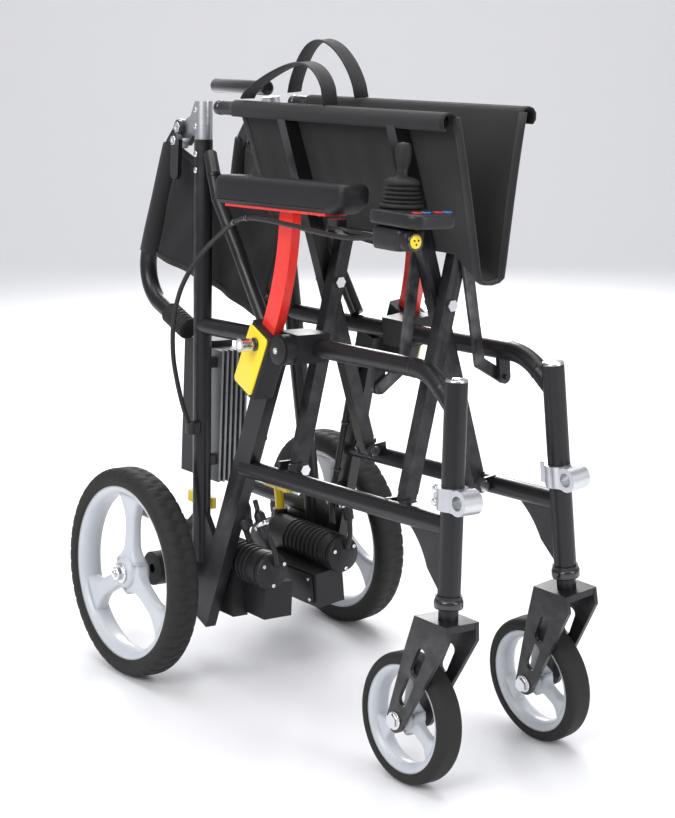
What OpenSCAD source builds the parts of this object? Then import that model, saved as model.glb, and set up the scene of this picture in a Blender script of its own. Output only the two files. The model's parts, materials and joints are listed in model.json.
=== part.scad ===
// Folding power wheelchair, folded flat for carrying, in millimetres.
// X runs across the chair (the user's right is -X), Y runs to the rear, Z is up from the floor.
// Each side frame is drawn in its own upright plane as (u, y, w): u outward, y rearward, w up,
// and then leaned inward by the camber angle and set at its place across the chair.

/* [Wheels] */
// Outside diameter of a rear drive wheel
rear_wheel_d = 270; // [255:1:285]
// Width of a rear tyre
rear_tyre_w = 40; // [34:1:42]
// Outside diameter of a caster wheel
caster_d = 150; // [140:1:158]
// Width of a caster tyre
caster_tyre_w = 32; // [26:1:36]
// Height of the tyre section around each rim
tyre_h = 23; // [18:1:26]
// Height of the caster tyre section around its rim
caster_tyre_h = 13; // [10:1:16]

/* [Side frames] */
// Lean of each side frame, tops inward
camber = 3.98; // [2:0.02:4.5]
// Half distance between the two frame planes at the floor
frame_foot_x = 101.7; // [98:0.1:112]
// Diameter of the front posts
post_d = 25.4; // [22.2:0.1:28]
// Diameter of the frame rails and rear posts
rail_d = 22.2; // [19:0.1:24]
// Diameter of the sloping brace tubes
brace_d = 17; // [14:0.5:17]
// Height of the top of the front posts
post_top_w = 465; // [455:1:480]
// Height of the lower rail at the front post
lower_rail_w = 306; // [300:1:310]
// Height of the top of the rear posts, under the hinge brackets
rear_post_top_w = 686; // [680:1:700]

/* [Cross frame] */
// Height of the lower scissor pivots
foot_pivot_z = 303.5; // [300:0.5:308]
// Half distance between the lower scissor pivots, folded
foot_pivot_x = 60; // [58:0.2:60.4]
// Height of the seat rails, folded
seat_rail_z = 730; // [700:1:745]
// Half distance between the seat rails, folded
seat_rail_x = 55.6; // [53:0.2:57]
// Diameter of the seat rails
seat_rail_d = 17; // [15:0.5:18]
// Width of a scissor arm, seen from the front
arm_w = 18; // [14:0.5:19]
// Depth of a scissor arm, front to back
arm_t = 15; // [12:0.5:16]
// Diameter of the scissor pivot bolts
pivot_bolt_d = 8; // [6:0.5:9]

/* [Seat and back] */
// Thickness of the seat and back cloth
cloth_t = 2.6; // [2:0.1:4]
// Length of the seat cloth, front to back
sling_len = 398; // [360:1:405]
// Length of a back cane from its hinge to its bend
cane_len = 152; // [130:1:165]

/* [Armrests] */
// Length of an arm pad
pad_len = 252; // [230:1:265]
// Width of an arm pad
pad_w = 42; // [36:1:46]
// Thickness of an arm pad
pad_t = 32; // [24:1:36]

/* [Joystick] */
// Width of the joystick case
case_w = 64; // [58:1:70]
// Length of the joystick case
case_len = 86; // [80:1:92]

/* [Fits] */
// Radial running clearance of pins and shafts
run_gap = 0.05; // [0.02:0.01:0.1]
// Clearance between sliding flat faces
flat_gap = 0.4; // [0.3:0.05:0.6]

/* [Hidden] */
$fn = 48;

// Colours
black_paint = "#16161a";
black_plastic = "#1d1d20";
red_paint = "#d8241f";
yellow_plate = "#f2c80f";
bare_metal = "#b9bcc2";
rim_grey = "#c9cdd3";
rubber_black = "#141415";
cloth_black = "#101012";

// Wheels: the corner radius of each tread, and the centre heights that put the treads on the floor
tread_r = 11;
caster_tread_r = 9;
rear_r = rear_wheel_d / 2;
caster_r = caster_d / 2;
function hub_z(r, width, corner) =
    (r - corner) * cos(camber) + (width / 2 - corner) * sin(camber) + corner;
wheel_u = 70;
wheel_y = 558;
wheel_w = (hub_z(rear_r, rear_tyre_w, tread_r) - wheel_u * sin(camber)) / cos(camber);
caster_w = hub_z(caster_r, caster_tyre_w, caster_tread_r) / cos(camber);

// Front post: leans back by post_rake, and the caster stem turns on its axis
post_rake = 1.67;
post_foot_y = 7.2;
post_bottom_w = 217;
function post_y(w) = post_foot_y + w * tan(post_rake);
caster_trail = 58;
stem_d = 12;
fork_gap = 2.4;
fork_t = 5;
crown_w = 196;

// Rear post: leans back by rear_rake
rear_rake = 2.5;
rear_foot_y = 497;
rear_post_bottom_w = 150;
rear_post_r = rail_d / 2 + 0.5;
function rear_y(w) = rear_foot_y + w * tan(rear_rake);

// Turns a place (x, z) on the chair's left half into the side-frame plane's u and w
function to_u(x, z) = (x - frame_foot_x) * cos(camber) + z * sin(camber);
function to_w(x, z) = -(x - frame_foot_x) * sin(camber) + z * cos(camber);

// Rails, as (y, w) points
rail_r = rail_d / 2;
brace_r = brace_d / 2;
lower_rail_fall = 2.2;
upper_rail_w = 454;
upper_front_w = 468.7;
upper_bend_y = 89.7;
upper_bend_r = 70;
upper_bend_turn = 41;
upper_rise = atan((upper_front_w - upper_rail_w) / (rear_y(upper_rail_w) - upper_bend_y));
function rail_w(y) = upper_front_w - (y - upper_bend_y) * tan(upper_rise);
strut_top = [352, 452];
strut_bottom = [492, 74];
strut_size = [15, 32];
strut_lean = atan((strut_bottom[0] - strut_top[0]) / (strut_top[1] - strut_bottom[1]));
function strut_y(w) = strut_top[0] + (strut_top[1] - w) * tan(strut_lean);
function lower_w(y) = lower_rail_w - (y - post_y(lower_rail_w)) * tan(lower_rail_fall);
brace_path = [[2, 508, 669], [10, 486, 645], [9, 476, 617], [5, 440, 564], [0, 377, 472]];

// Cross frame: the two arm lengths from the centre pivot, and the folded angle from upright
fold_angle = atan((foot_pivot_x + seat_rail_x) / (seat_rail_z - foot_pivot_z));
lower_arm = foot_pivot_x / sin(fold_angle);
upper_arm = seat_rail_x / sin(fold_angle);
centre_z = foot_pivot_z + lower_arm * cos(fold_angle);
arm_step = 18;
arm_y_front = 121;
arm_y_rear = 329;
seat_rail_r = seat_rail_d / 2;
seat_rail_front_y = 64;
seat_rail_rear_y = 484;
seat_rail_drop = 1.1;
function seat_rail_height(y) = seat_rail_z - (y - 274) * tan(seat_rail_drop);
foot_r = 8;
lug_t = 4;
bolt_r = pivot_bolt_d / 2;

// Links: flat bars from a hanger under each upper rail to the upper half of a scissor arm
link_arm_reach = 68;
link_t = 4;
link_w = 14;
hanger_x = 72;
hanger_z = 435;
hanger_t = 6;
link_pin_r = 3;
link_top = [link_arm_reach * sin(fold_angle), centre_z + link_arm_reach * cos(fold_angle)];
link_y_right = arm_y_front + arm_step + arm_t / 2 + flat_gap * 2 + link_t / 2;
link_y_left = arm_y_front - arm_t / 2 - flat_gap * 2 - link_t / 2;

// Back: the cane hinge is on the bracket's fin, and the folded cane hangs down behind it
hinge_y = 574;
hinge_w = 698;
cane_d = 22.2;
cane_r = cane_d / 2;
cane_fall = 19.6;
cane_set_back = 14.4;
cane_start = 26.8;
cane_bend_r = 52;
handle_turn = 90;
handle_len = 70;
grip_len = 44;
panel_half_w = 202;
panel_x = 52;
panel_turn = acos(panel_x / panel_half_w);
panel_z = [cane_start + 14, 176];
lever_y = hinge_y - 8;
lever_w = hinge_w - 16;

// Armrests: the tube's curve, its socket and the pad's place
arm_u = 34;
arm_tube_size = [12, 26];
arm_curve_r = 350;
arm_curve_turn = 24;
arm_top_y = 288;
arm_top_w = 617;
arm_foot_y = arm_top_y + arm_curve_r * (1 - cos(arm_curve_turn));
arm_foot_w = arm_top_w - arm_curve_r * sin(arm_curve_turn);
arm_plug_len = 60;
socket_len = 84;
socket_size = [32, 44];
plunger_down = 14;
pad_u = 41;
pad_rear_y = 410;
pad_tilt = 2;
plate_t = 3;
plate_w = pad_w - 12;

// Drive: motor and gearbox inboard of the axle plate, and the pack and controller above it
nose_r = 22;
axle_r = 6;
gearbox_r = 37;
motor_r = 23;
motor_u = -(rear_post_r + motor_r + 0.8);
motor_w = 157;
motor_front_y = 408;
lever_post_u = -26;
lever_post_y = 546;
lever_post_r = 6;
pack_u = -38;
pack_w = 40;
pack_y = [530, 590];
controller_y = [497, 529.6];
pack_ws = [252, 430];

// Joystick, carried in front of the right arm pad
case_u = 42;
case_y = 57;
case_bottom_w = 627;
case_h = 18;
case_top_w = case_bottom_w + case_h;
stick_y = 77;
stick_pivot_w = 636;
collar_d = 48;
boot_top_d = 38;
key_y = 25;
key_us = [62, 51, 34, 23];
key_size = [9, 6, 3];

// The lead's route, as (u, y, w) points, from the joystick to the clip on the rear post
lead_r = 3;
lead_route = [
    [57, 93.4, 613], [57, 112, 610], [58, 150, 606], [60, 200, 607], [60, 250, 609],
    [60, 300, 610], [58, 340, 608], [54, 372, 600], [50, 404, 584], [47, 440, 562], [46, 474, 534],
    [46, 500, 500], [45, 514, 460], [42, 518, 420], [36, 516, 384], [28, 512, 350], [20, 508, 326]];

// Legrest clamp: the lobe's front edge is the foremost point of the chair
clamp_w = 338;
clamp_h = 25;
lobe_r = 14;
lobe_reach = 18;
lobe_y = post_y(clamp_w) - lobe_reach - 4;
clamp_bore_d = 16;

// The origin is on the floor, on the mirror plane, midway between the foremost and rearmost points
front_y = lobe_y - lobe_r;
back_y = wheel_y + rear_r;
mid_y = (front_y + back_y) / 2;

// ---- Placing and tube helpers ----

// Moves from the plan's Y zero to the origin
module plan() translate([0, -mid_y, 0]) children();

// Draws a part given in side-frame (u, y, w) on the left (side = 1) or right (side = -1)
module on_side(side)
    plan() mirror([side < 0 ? 1 : 0, 0, 0])
        translate([frame_foot_x, 0, 0]) rotate([0, -camber, 0]) children();

// A straight round bar between two points
module rod(from, to, r) {
    run = to - from;
    turn = atan2(run[1], run[0]);
    tip = acos(run[2] / norm(run));
    translate(from) rotate([0, tip, turn]) cylinder(h = norm(run), r = r);
}

// A chain of straight bars with round corners
module rod_chain(points, r) {
    for (i = [1 : len(points) - 1]) rod(points[i - 1], points[i], r);
    for (i = [1 : len(points) - 2]) translate(points[i]) sphere(r = r + 0.3);
}

// Turns a drawing on the XY plane into the side-frame plane, X to rear and Y up, centred on u
module in_frame(thickness) rotate([90, 0, 90]) translate([0, 0, -thickness / 2]) children();

// Points of a smooth curve through the route's own points
function spline(p, i, t) =
    let (a = p[max(i - 1, 0)], b = p[i], c = p[i + 1], d = p[min(i + 2, len(p) - 1)])
    0.5 * (2 * b + (c - a) * t + (2 * a - 5 * b + 4 * c - d) * t * t + (3 * b - a - 3 * c + d) * t * t * t);

function smooth_route(p, steps) = concat(
    [for (i = [0 : len(p) - 2]) for (k = [0 : steps - 1]) spline(p, i, k / steps)], [p[len(p) - 1]]);

// Tube of a given radius swept along a list of points, as one closed solid
module swept_tube(points, r, sides) {
    count = len(points);
    side_way = [1, 0, 0];
    rings = [for (i = [0 : count - 1])
        let (along = points[min(i + 1, count - 1)] - points[max(i - 1, 0)],
             across = cross(along, side_way), n1 = across / norm(across),
             n2 = cross(along, n1) / norm(cross(along, n1)))
        for (k = [0 : sides - 1]) points[i] + r * (n1 * cos(360 * k / sides) + n2 * sin(360 * k / sides))];
    walls = [for (i = [0 : count - 2], k = [0 : sides - 1])
        let (a = i * sides + k, b = i * sides + (k + 1) % sides) [a, b, b + sides, a + sides]];
    ends = [[for (k = [sides - 1 : -1 : 0]) k], [for (k = [0 : sides - 1]) (count - 1) * sides + k]];
    polyhedron(points = rings, faces = concat(walls, ends), convexity = 6);
}

// A flat plate in the side-frame plane
module plate(points, thickness) in_frame(thickness) linear_extrude(thickness) polygon(points);

// A bar along the chair's Y axis
module bar_y(x, y0, y1, z, r) translate([x, y0, z]) rotate([-90, 0, 0]) cylinder(h = y1 - y0, r = r);

// A bar along u
module bar_u(u0, u1, y, w, r) translate([u0, y, w]) rotate([0, 90, 0]) cylinder(h = u1 - u0, r = r);

// A block with its corner edges along w rounded, centred on (u, y)
module pillar(size, corner) linear_extrude(size[2]) rounded_rect(size[0], size[1], corner);

module rounded_rect(a, b, corner) {
    square([a - 2 * corner, b], center = true);
    square([a, b - 2 * corner], center = true);
    for (i = [-1, 1], j = [-1, 1])
        translate([i * (a / 2 - corner), j * (b / 2 - corner)]) circle(r = corner);
}

// ---- Side frames ----

// Upper rail: a long straight, a bend at the front and a short drop to the post. A ball a little
// fuller than the tube closes each end of the bend.
module upper_rail() {
    centre = [upper_bend_y - upper_bend_r * sin(upper_rise), upper_front_w - upper_bend_r * cos(upper_rise)];
    start = 90 - upper_rise;
    end = start + upper_bend_turn;
    bend_end = centre + upper_bend_r * [cos(end), sin(end)];
    stub = (bend_end[0] - post_y(bend_end[1])) / sin(end);
    rod([0, upper_bend_y, upper_front_w], [0, rear_y(upper_rail_w), upper_rail_w], rail_r);
    rod([0, bend_end[0], bend_end[1]],
        [0, bend_end[0] - stub * sin(end), bend_end[1] + stub * cos(end)], rail_r);
    in_frame(0) translate(centre) rotate([0, 0, start + 1])
        rotate_extrude(angle = upper_bend_turn - 2) translate([upper_bend_r, 0]) circle(r = rail_r);
    for (a = [start, end]) translate([0, centre[0] + upper_bend_r * cos(a), centre[1] + upper_bend_r * sin(a)])
        sphere(r = rail_r + 0.4);
}

module strut() {
    length = norm(strut_bottom - strut_top);
    translate([0, strut_bottom[0], strut_bottom[1]]) rotate([strut_lean, 0, 0])
        translate([-strut_size[0] / 2, -strut_size[1] / 2, 0])
            cube([strut_size[0], strut_size[1], length]);
}

// Triangular web under the front end of the lower rail, with a hollow lower edge
module gusset() {
    y0 = post_y(250);
    in_frame(4) linear_extrude(4) difference() {
        polygon([[y0, 222], [y0 + 5, 222], [y0 + 88, lower_w(y0 + 88)], [y0, lower_rail_w]]);
        translate([y0 + 128, 212]) circle(r = 100, $fn = 96);
    }
}

// Pair of lugs on the inboard side of the lower rail, holding one scissor foot between them
module foot_lugs(y) {
    lug = [to_u(foot_pivot_x, foot_pivot_z), to_w(foot_pivot_x, foot_pivot_z)];
    for (end = [-1, 1])
        translate([0, y + end * (arm_t / 2 + flat_gap + lug_t / 2), 0])
            rotate([90, 0, 0]) translate([0, 0, -lug_t / 2]) linear_extrude(lug_t) difference() {
                union() {
                    translate(lug) circle(r = foot_r + 1);
                    translate([lug[0], lug[1] - foot_r]) square([-lug[0], 2 * foot_r]);
                }
                translate(lug) circle(r = bolt_r + run_gap);
            }
}

// Hanger under the upper rail that holds the lower end of a link
module link_hanger(y) {
    eye = [to_u(hanger_x, hanger_z), to_w(hanger_x, hanger_z)];
    translate([eye[0], y, eye[1]]) rotate([90, 0, 0]) translate([0, 0, -hanger_t / 2])
        linear_extrude(hanger_t) difference() {
            union() {
                circle(r = 8);
                translate([-8, 0]) square([16, 24]);
            }
            circle(r = link_pin_r + run_gap);
        }
}

module side_frame(side) {
    stem_bore_r = stem_d / 2 + run_gap;
    on_side(side) color(black_paint) difference() {
        union() {
            rod([0, post_y(post_bottom_w), post_bottom_w], [0, post_y(post_top_w), post_top_w], post_d / 2);
            rod([0, post_y(post_bottom_w), post_bottom_w], [0, post_y(post_bottom_w + 14), post_bottom_w + 14],
                post_d / 2 + 2);
            rod([0, rear_y(rear_post_bottom_w), rear_post_bottom_w],
                [0, rear_y(rear_post_top_w), rear_post_top_w], rear_post_r);
            upper_rail();
            rod([0, post_y(lower_rail_w), lower_rail_w], [0, strut_y(288), lower_w(strut_y(288))], rail_r);
            strut();
            rod_chain(brace_path, brace_r);
            gusset();
            // Axle plate that joins the strut, the rear post and the drive
            plate([[strut_y(118), 84], [wheel_y + 14, 104], [wheel_y + 14, 160],
                   [rear_y(200) + 8, 216], [rear_y(200) - 12, 216], [strut_y(170), 170]], 8);
            // Tabs that carry the controller inboard of the rear post
            for (w = [275, 400]) translate([pack_u + pack_w / 2, rear_y(w) - 8, w])
                cube([-pack_u - pack_w / 2, 14, 12]);
            // Receiver for an anti-tip bar, behind the rear post
            bar = [rear_y(186), 186];
            translate([0, bar[0], bar[1]]) rotate([-90, 0, 0]) cylinder(h = 150, r = 9.5);
            if (side < 0) {
                foot_lugs(arm_y_front);
                foot_lugs(arm_y_rear);
                link_hanger(link_y_right + (link_t + hanger_t) / 2 + flat_gap);
            } else {
                foot_lugs(arm_y_front + arm_step);
                foot_lugs(arm_y_rear + arm_step);
                link_hanger(link_y_left - (link_t + hanger_t) / 2 - flat_gap);
            }
        }
        // Hole in the axle plate for the gearbox nose
        bar_u(-5, 5, wheel_y, wheel_w, nose_r + flat_gap);
        // Bore for the caster stem
        translate([0, post_y(post_bottom_w), post_bottom_w]) rotate([-post_rake, 0, 0])
            translate([0, 0, -1]) cylinder(h = 71, r = stem_bore_r);
        // Bore and cross hole of the anti-tip receiver
        translate([0, rear_y(186) + 30, 186]) rotate([-90, 0, 0]) cylinder(h = 130, r = 7.5);
        translate([-12, rear_y(186) + 136, 186]) rotate([0, 90, 0]) cylinder(h = 24, r = 3);
        // Hole for the hinge bracket's spigot
        translate([0, rear_y(rear_post_top_w), rear_post_top_w]) rotate([-rear_rake, 0, 0])
            translate([0, 0, -30]) cylinder(h = 31, r = 8);
    }
}

// Alloy bracket on the rear post: a spigot and sleeve with a fin that holds the cane hinge
module hinge_bracket(side) {
    top = rear_post_top_w;
    on_side(side) color(bare_metal) difference() {
        union() {
            // Pin for the release lever
            bar_u(0, 19.5, lever_y, lever_w, 3);
            translate([0, rear_y(top), top]) rotate([-rear_rake, 0, 0]) {
                translate([0, 0, -29.9]) cylinder(h = 30, r = 8 - run_gap);
                cylinder(h = 47, r = rail_r);
            }
            plate([[rear_y(top) + 4, top + 2], [rear_y(top) + 4, top + 44], [rear_y(top) + 18, top + 44],
                   [rear_y(top) + 26, top + 28], [hinge_y - 8, top + 21], [hinge_y + 10, top + 22],
                   [hinge_y + 18, top + 10], [hinge_y + 18, top - 4], [hinge_y + 6, top - 10],
                   [hinge_y - 6, top - 14], [hinge_y - 16, top - 10], [hinge_y - 26, top + 3]], 7);
        }
        bar_u(-8, 8, hinge_y, hinge_w, 4 + run_gap);
    }
}

// Split clamp on the front post, with the forward lobe that takes the legrest pin
module legrest_clamp(side) {
    on_side(side) color(bare_metal) difference() {
        union() {
            translate([0, post_y(clamp_w), clamp_w]) rotate([-post_rake, 0, 0])
                translate([0, 0, -clamp_h / 2]) cylinder(h = clamp_h, r = post_d / 2 + 4);
            translate([-clamp_h / 2, lobe_y, clamp_w]) rotate([0, 90, 0]) cylinder(h = clamp_h, r = lobe_r);
            translate([-clamp_h / 2, lobe_y, clamp_w - clamp_h / 2]) cube([clamp_h, lobe_reach, clamp_h]);
            translate([-7, post_y(clamp_w) + 12, clamp_w - clamp_h / 2]) cube([14, 12, clamp_h]);
        }
        translate([0, post_y(clamp_w), clamp_w]) rotate([-post_rake, 0, 0])
            translate([0, 0, -clamp_h]) cylinder(h = 2 * clamp_h, r = post_d / 2 + run_gap);
        bar_u(-clamp_h, clamp_h, lobe_y, clamp_w, clamp_bore_d / 2);
        translate([-0.8, post_y(clamp_w) + 8, clamp_w - clamp_h]) cube([1.6, 20, 2 * clamp_h]);
    }
}

// ---- Cross frame ----

// One scissor arm leaning towards +X as it rises, with its three pivot places
module scissor_arm(y) {
    length = lower_arm + upper_arm;
    translate([-foot_pivot_x, y - arm_t / 2, foot_pivot_z]) rotate([0, fold_angle, 0]) {
        translate([-arm_w / 2, 0, 14]) cube([arm_w, arm_t, length - 14]);
        translate([-foot_r, 0, 0]) cube([2 * foot_r, arm_t, 16]);
        rotate([-90, 0, 0]) cylinder(h = arm_t, r = foot_r);
    }
}

module arm_bores(y) {
    bar_y(-foot_pivot_x, y - arm_t, y + arm_t, foot_pivot_z, bolt_r + run_gap);
    bar_y(0, y - arm_t, y + arm_t, centre_z, bolt_r + run_gap);
}

// Two arms joined by a seat rail: frame a leans right to left, frame b is its mirror image
module cross_frame(step) {
    tilt_front = seat_rail_height(seat_rail_front_y);
    tilt_rear = seat_rail_height(seat_rail_rear_y);
    plan() mirror([step > 0 ? 1 : 0, 0, 0]) color(black_paint) difference() {
        union() {
            difference() {
                union() {
                    scissor_arm(arm_y_front + step);
                    scissor_arm(arm_y_rear + step);
                }
                // The arms end under the rail's crown
                translate([seat_rail_x - 30, 0, seat_rail_z]) cube([60, 500, 40]);
            }
            rod([seat_rail_x, seat_rail_front_y, tilt_front], [seat_rail_x, seat_rail_rear_y, tilt_rear],
                seat_rail_r);
        }
        arm_bores(arm_y_front + step);
        arm_bores(arm_y_rear + step);
    }
}

// Hex-headed bolts through the scissor pivots
module pivot_bolt(x, y0, y1, z) {
    bar_y(x, y0, y1, z, bolt_r);
    translate([x, y0, z]) rotate([90, 0, 0]) cylinder(h = 4.5, r = 7, $fn = 6);
    translate([x, y1, z]) rotate([-90, 0, 0]) cylinder(h = 5, r = 7, $fn = 6);
}

module cross_bolts(step) {
    lug_reach = arm_t / 2 + flat_gap + lug_t + 0.3;
    plan() mirror([step > 0 ? 1 : 0, 0, 0]) color(bare_metal)
        for (y = [arm_y_front, arm_y_rear]) {
            pivot_bolt(-foot_pivot_x, y + step - lug_reach, y + step + lug_reach, foot_pivot_z);
            if (step == 0) pivot_bolt(0, y - arm_t / 2 - 0.3, y + arm_step + arm_t / 2 + 0.3, centre_z);
        }
}

// Flat link with a hooked foot, pivoted on its hanger below the upper rail
module link(side) {
    y = side < 0 ? link_y_right : link_y_left;
    away = side < 0 ? 1 : -1;
    foot = [hanger_x, hanger_z];
    elbow = [link_top[0] + 22, hanger_z + 20];
    plan() mirror([side < 0 ? 1 : 0, 0, 0]) color(black_paint) {
        translate([0, y, 0]) rotate([90, 0, 0]) translate([0, 0, -link_t / 2]) linear_extrude(link_t) {
            for (p = [link_top, elbow, foot]) translate(p) circle(r = link_w / 2);
            flat_bar(link_top, elbow, link_w);
            flat_bar(elbow, foot, link_w);
        }
        translate([foot[0], y, foot[1]]) rotate([-90 * away, 0, 0])
            cylinder(h = link_t + hanger_t + 2, r = link_pin_r);
    }
}

module flat_bar(from, to, width) {
    run = to - from;
    translate(from) rotate([0, 0, atan2(run[1], run[0])]) translate([0, -width / 2])
        square([norm(run), width]);
}

// ---- Seat and back cloth ----

// Seat cloth hanging in a V between the scissor arms
module seat_sling() {
    slope = tan(fold_angle);
    lip = arm_w / 2 / cos(fold_angle) + 2;
    top_z = seat_rail_z + 3;
    low_z = centre_z + (lip + 6) / slope;
    top_x = (top_z - centre_z) * slope - lip;
    plan() color(cloth_black) difference() {
        translate([0, 52 + sling_len, 0]) rotate([90, 0, 0]) linear_extrude(sling_len)
            polygon([[top_x, top_z], [6, low_z], [0, low_z - 8], [-6, low_z], [-top_x, top_z],
                     [-top_x + cloth_t, top_z], [-6 + cloth_t, low_z + 3], [6 - cloth_t, low_z + 3],
                     [top_x - cloth_t, top_z]]);
        // The folded back cloth lies behind this corner
        translate([-100, 398, 500]) cube([200, 100, 140]);
    }
}

// Webbing loop that arches over a seat rail, for lifting the folded chair
module carry_strap(side) {
    strap_w = 22;
    rise = side < 0 ? 52 : 66;
    span = side < 0 ? 150 : 130;
    y0 = side < 0 ? 278 : 342;
    foot_z = seat_rail_z + seat_rail_r + 0.6;
    half = span / 2;
    arch_r = (half * half + rise * rise) / (2 * rise);
    half_turn = asin(half / arch_r);
    plan() color(cloth_black) translate([side * (seat_rail_x - 6) - strap_w / 2, y0 + half, foot_z + rise - arch_r])
        rotate([90, 0, 90]) rotate([0, 0, 90 - half_turn])
            rotate_extrude(angle = 2 * half_turn) translate([arch_r - 2, 0]) square([2, strap_w]);
}

// ---- Back canes ----

// Puts a drawing at the cane hinge, with +Z down the folded cane and +Y forward
module at_cane(side)
    on_side(side) translate([0, hinge_y, hinge_w]) rotate([180 + cane_fall, 0, 0]) children();

// One cheek of the fork that joins the cane tube to its hinge
module cane_cheek(x0, thickness) {
    heel = cane_start + 12;
    translate([x0, 0, 0]) rotate([90, 0, 90]) linear_extrude(thickness) {
        circle(r = 9);
        polygon([[8.5, 3], [cane_r - cane_set_back - 1, heel], [-cane_r - cane_set_back + 1, heel],
                 [-8.5, 3]]);
    }
}

// Moves to where the cane's bend ends, with +Z along the handle
module at_handle()
    translate([0, cane_bend_r * (1 - cos(handle_turn)) - cane_set_back,
               cane_start + cane_len + cane_bend_r * sin(handle_turn)])
        rotate([-handle_turn, 0, 0]) children();

// Bent tube from the hinge fork down to the push handle, with the hinge pin through the fork
module cane(side) {
    cheek_t = 5;
    cheek_x = 3.5 + flat_gap;
    bend_z = cane_start + cane_len;
    at_cane(side) color(black_paint) {
        cane_cheek(cheek_x, cheek_t);
        cane_cheek(-cheek_x - cheek_t, cheek_t);
        translate([-cheek_x - 1, 0, 0]) rotate([0, 90, 0]) cylinder(h = 2 * cheek_x + 2, r = 4);
        translate([0, -cane_set_back, 0]) {
            translate([0, 0, cane_start]) cylinder(h = cane_len, r = cane_r);
            translate([0, cane_bend_r, bend_z]) rotate([90, 0, 90]) rotate([0, 0, 180 - handle_turn])
                rotate_extrude(angle = handle_turn) translate([cane_bend_r, 0]) circle(r = cane_r);
        }
        at_handle() cylinder(h = handle_len, r = cane_r);
    }
}

// Ribbed sleeve over the end of the handle
module push_grip(side) {
    wall = 2.2;
    at_cane(side) color(black_plastic) at_handle() translate([0, 0, handle_len - grip_len])
        difference() {
            union() {
                cylinder(h = grip_len, r = cane_r + wall);
                for (z = [4 : 8 : grip_len - 6]) translate([0, 0, z]) cylinder(h = 3, r = cane_r + wall + 0.8);
            }
            translate([0, 0, -1]) cylinder(h = grip_len + 2, r = cane_r + run_gap);
        }
}

// Half of the back cloth, folded forward and inward from its cane
module back_panel(side) {
    start = cane_r + 0.5;
    at_cane(side) color(cloth_black) translate([0, -cane_set_back, panel_z[0]])
        rotate([0, 0, 180 - panel_turn]) translate([start, -cloth_t / 2, 0])
            cube([panel_half_w - start, cloth_t, panel_z[1] - panel_z[0]]);
}

// Release lever on the outboard face of the hinge bracket
module latch_lever(side) {
    lever_u = 11.8;
    on_side(side) color(black_plastic) translate([lever_u, lever_y, lever_w]) rotate([90, 0, 90])
        difference() {
            linear_extrude(6) {
                circle(r = 9);
                translate([-9, -40]) square([18, 40]);
                translate([0, -40]) circle(r = 9);
            }
            translate([0, 0, -1]) cylinder(h = 8, r = 3 + run_gap);
        }
}

// ---- Armrests ----

module arm_curve()
    translate([arm_u, arm_top_y + arm_curve_r, arm_top_w]) rotate([90, 0, 90]) rotate([0, 0, 180])
        rotate_extrude(angle = arm_curve_turn, $fn = 96)
            translate([arm_curve_r - arm_tube_size[1] / 2, -arm_tube_size[0] / 2])
                square([arm_tube_size[1], arm_tube_size[0]]);

// Moves to the foot of the arm's curve, with +Z up out of the socket
module at_socket() translate([arm_u, arm_foot_y, arm_foot_w]) rotate([arm_curve_turn, 0, 0]) children();

// Moves to the underside of the pad plate's rear end, with -Y forward along the pad
module at_pad() translate([pad_u, pad_rear_y, arm_top_w]) rotate([-pad_tilt, 0, 0]) children();

// Curved flat tube with a straight plug in the socket, and the plate under the pad
module arm_tube(side) {
    core = [arm_tube_size[0] - 0.4, arm_tube_size[1] - 1];
    stub_h = (pad_rear_y - arm_top_y) * tan(pad_tilt) + 4;
    on_side(side) color(red_paint) {
        arm_curve();
        at_socket() translate([-core[0] / 2, -core[1] / 2, -arm_plug_len])
            cube([core[0], core[1], arm_plug_len + 3]);
        translate([arm_u - core[0] / 2, arm_top_y - core[1] / 2, arm_top_w - 3])
            cube([core[0], core[1], stub_h]);
        at_pad() translate([-plate_w / 2, -pad_len + 34, 0]) cube([plate_w, pad_len - 54, plate_t]);
    }
}

// Moulded arm pad with a sloping front end
module arm_pad(side) {
    nose = 30;
    corner = 6;
    on_side(side) color(black_plastic) at_pad() translate([0, 0, plate_t]) intersection() {
        rotate([90, 0, 0]) linear_extrude(pad_len) translate([0, pad_t / 2])
            rounded_rect(pad_w, pad_t, corner);
        rotate([90, 0, 90]) translate([0, 0, -pad_w]) linear_extrude(2 * pad_w)
            polygon([[-6, 0], [0, pad_t], [-pad_len, pad_t], [-pad_len + nose, 0]]);
    }
}

// Housing on the upper rail that takes the arm tube, with its clamp and rounded cover
module arm_socket(side) {
    clamp_y = arm_foot_y - 52;
    mouth = 6;
    on_side(side) color(black_plastic) difference() {
        union() {
            at_socket() translate([0, 0, mouth - socket_len]) pillar([socket_size[0], socket_size[1], socket_len], 5);
            translate([-14, clamp_y, rail_w(clamp_y) - 17]) cube([arm_u + 12, 42, 34]);
            bar_u(arm_u - 18, arm_u + 12, clamp_y + 18, rail_w(clamp_y) - 2, 18);
        }
        at_socket() translate([-arm_tube_size[0] / 2 - flat_gap, -arm_tube_size[1] / 2 - flat_gap, -arm_plug_len - 2])
            cube([arm_tube_size[0] + 2 * flat_gap, arm_tube_size[1] + 2 * flat_gap, arm_plug_len + 20]);
        rod([0, clamp_y - 40, rail_w(clamp_y - 40)], [0, clamp_y + 80, rail_w(clamp_y + 80)], rail_r + run_gap);
        at_socket() translate([0, 0, -plunger_down]) bar_u(0, 60, 0, 0, 4 + run_gap);
    }
}

// Spring plunger through the socket's outboard wall
module plunger(side) {
    wall_u = arm_tube_size[0] / 2 + 0.9;
    on_side(side) color(bare_metal) at_socket() translate([0, 0, -plunger_down]) {
        bar_u(wall_u, 32, 0, 0, 4);
        bar_u(26, 40, 0, 0, 8);
    }
}

// ---- Wheels ----

module at_wheel(side) on_side(side) translate([wheel_u, wheel_y, wheel_w]) rotate([0, 90, 0]) children();

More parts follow.
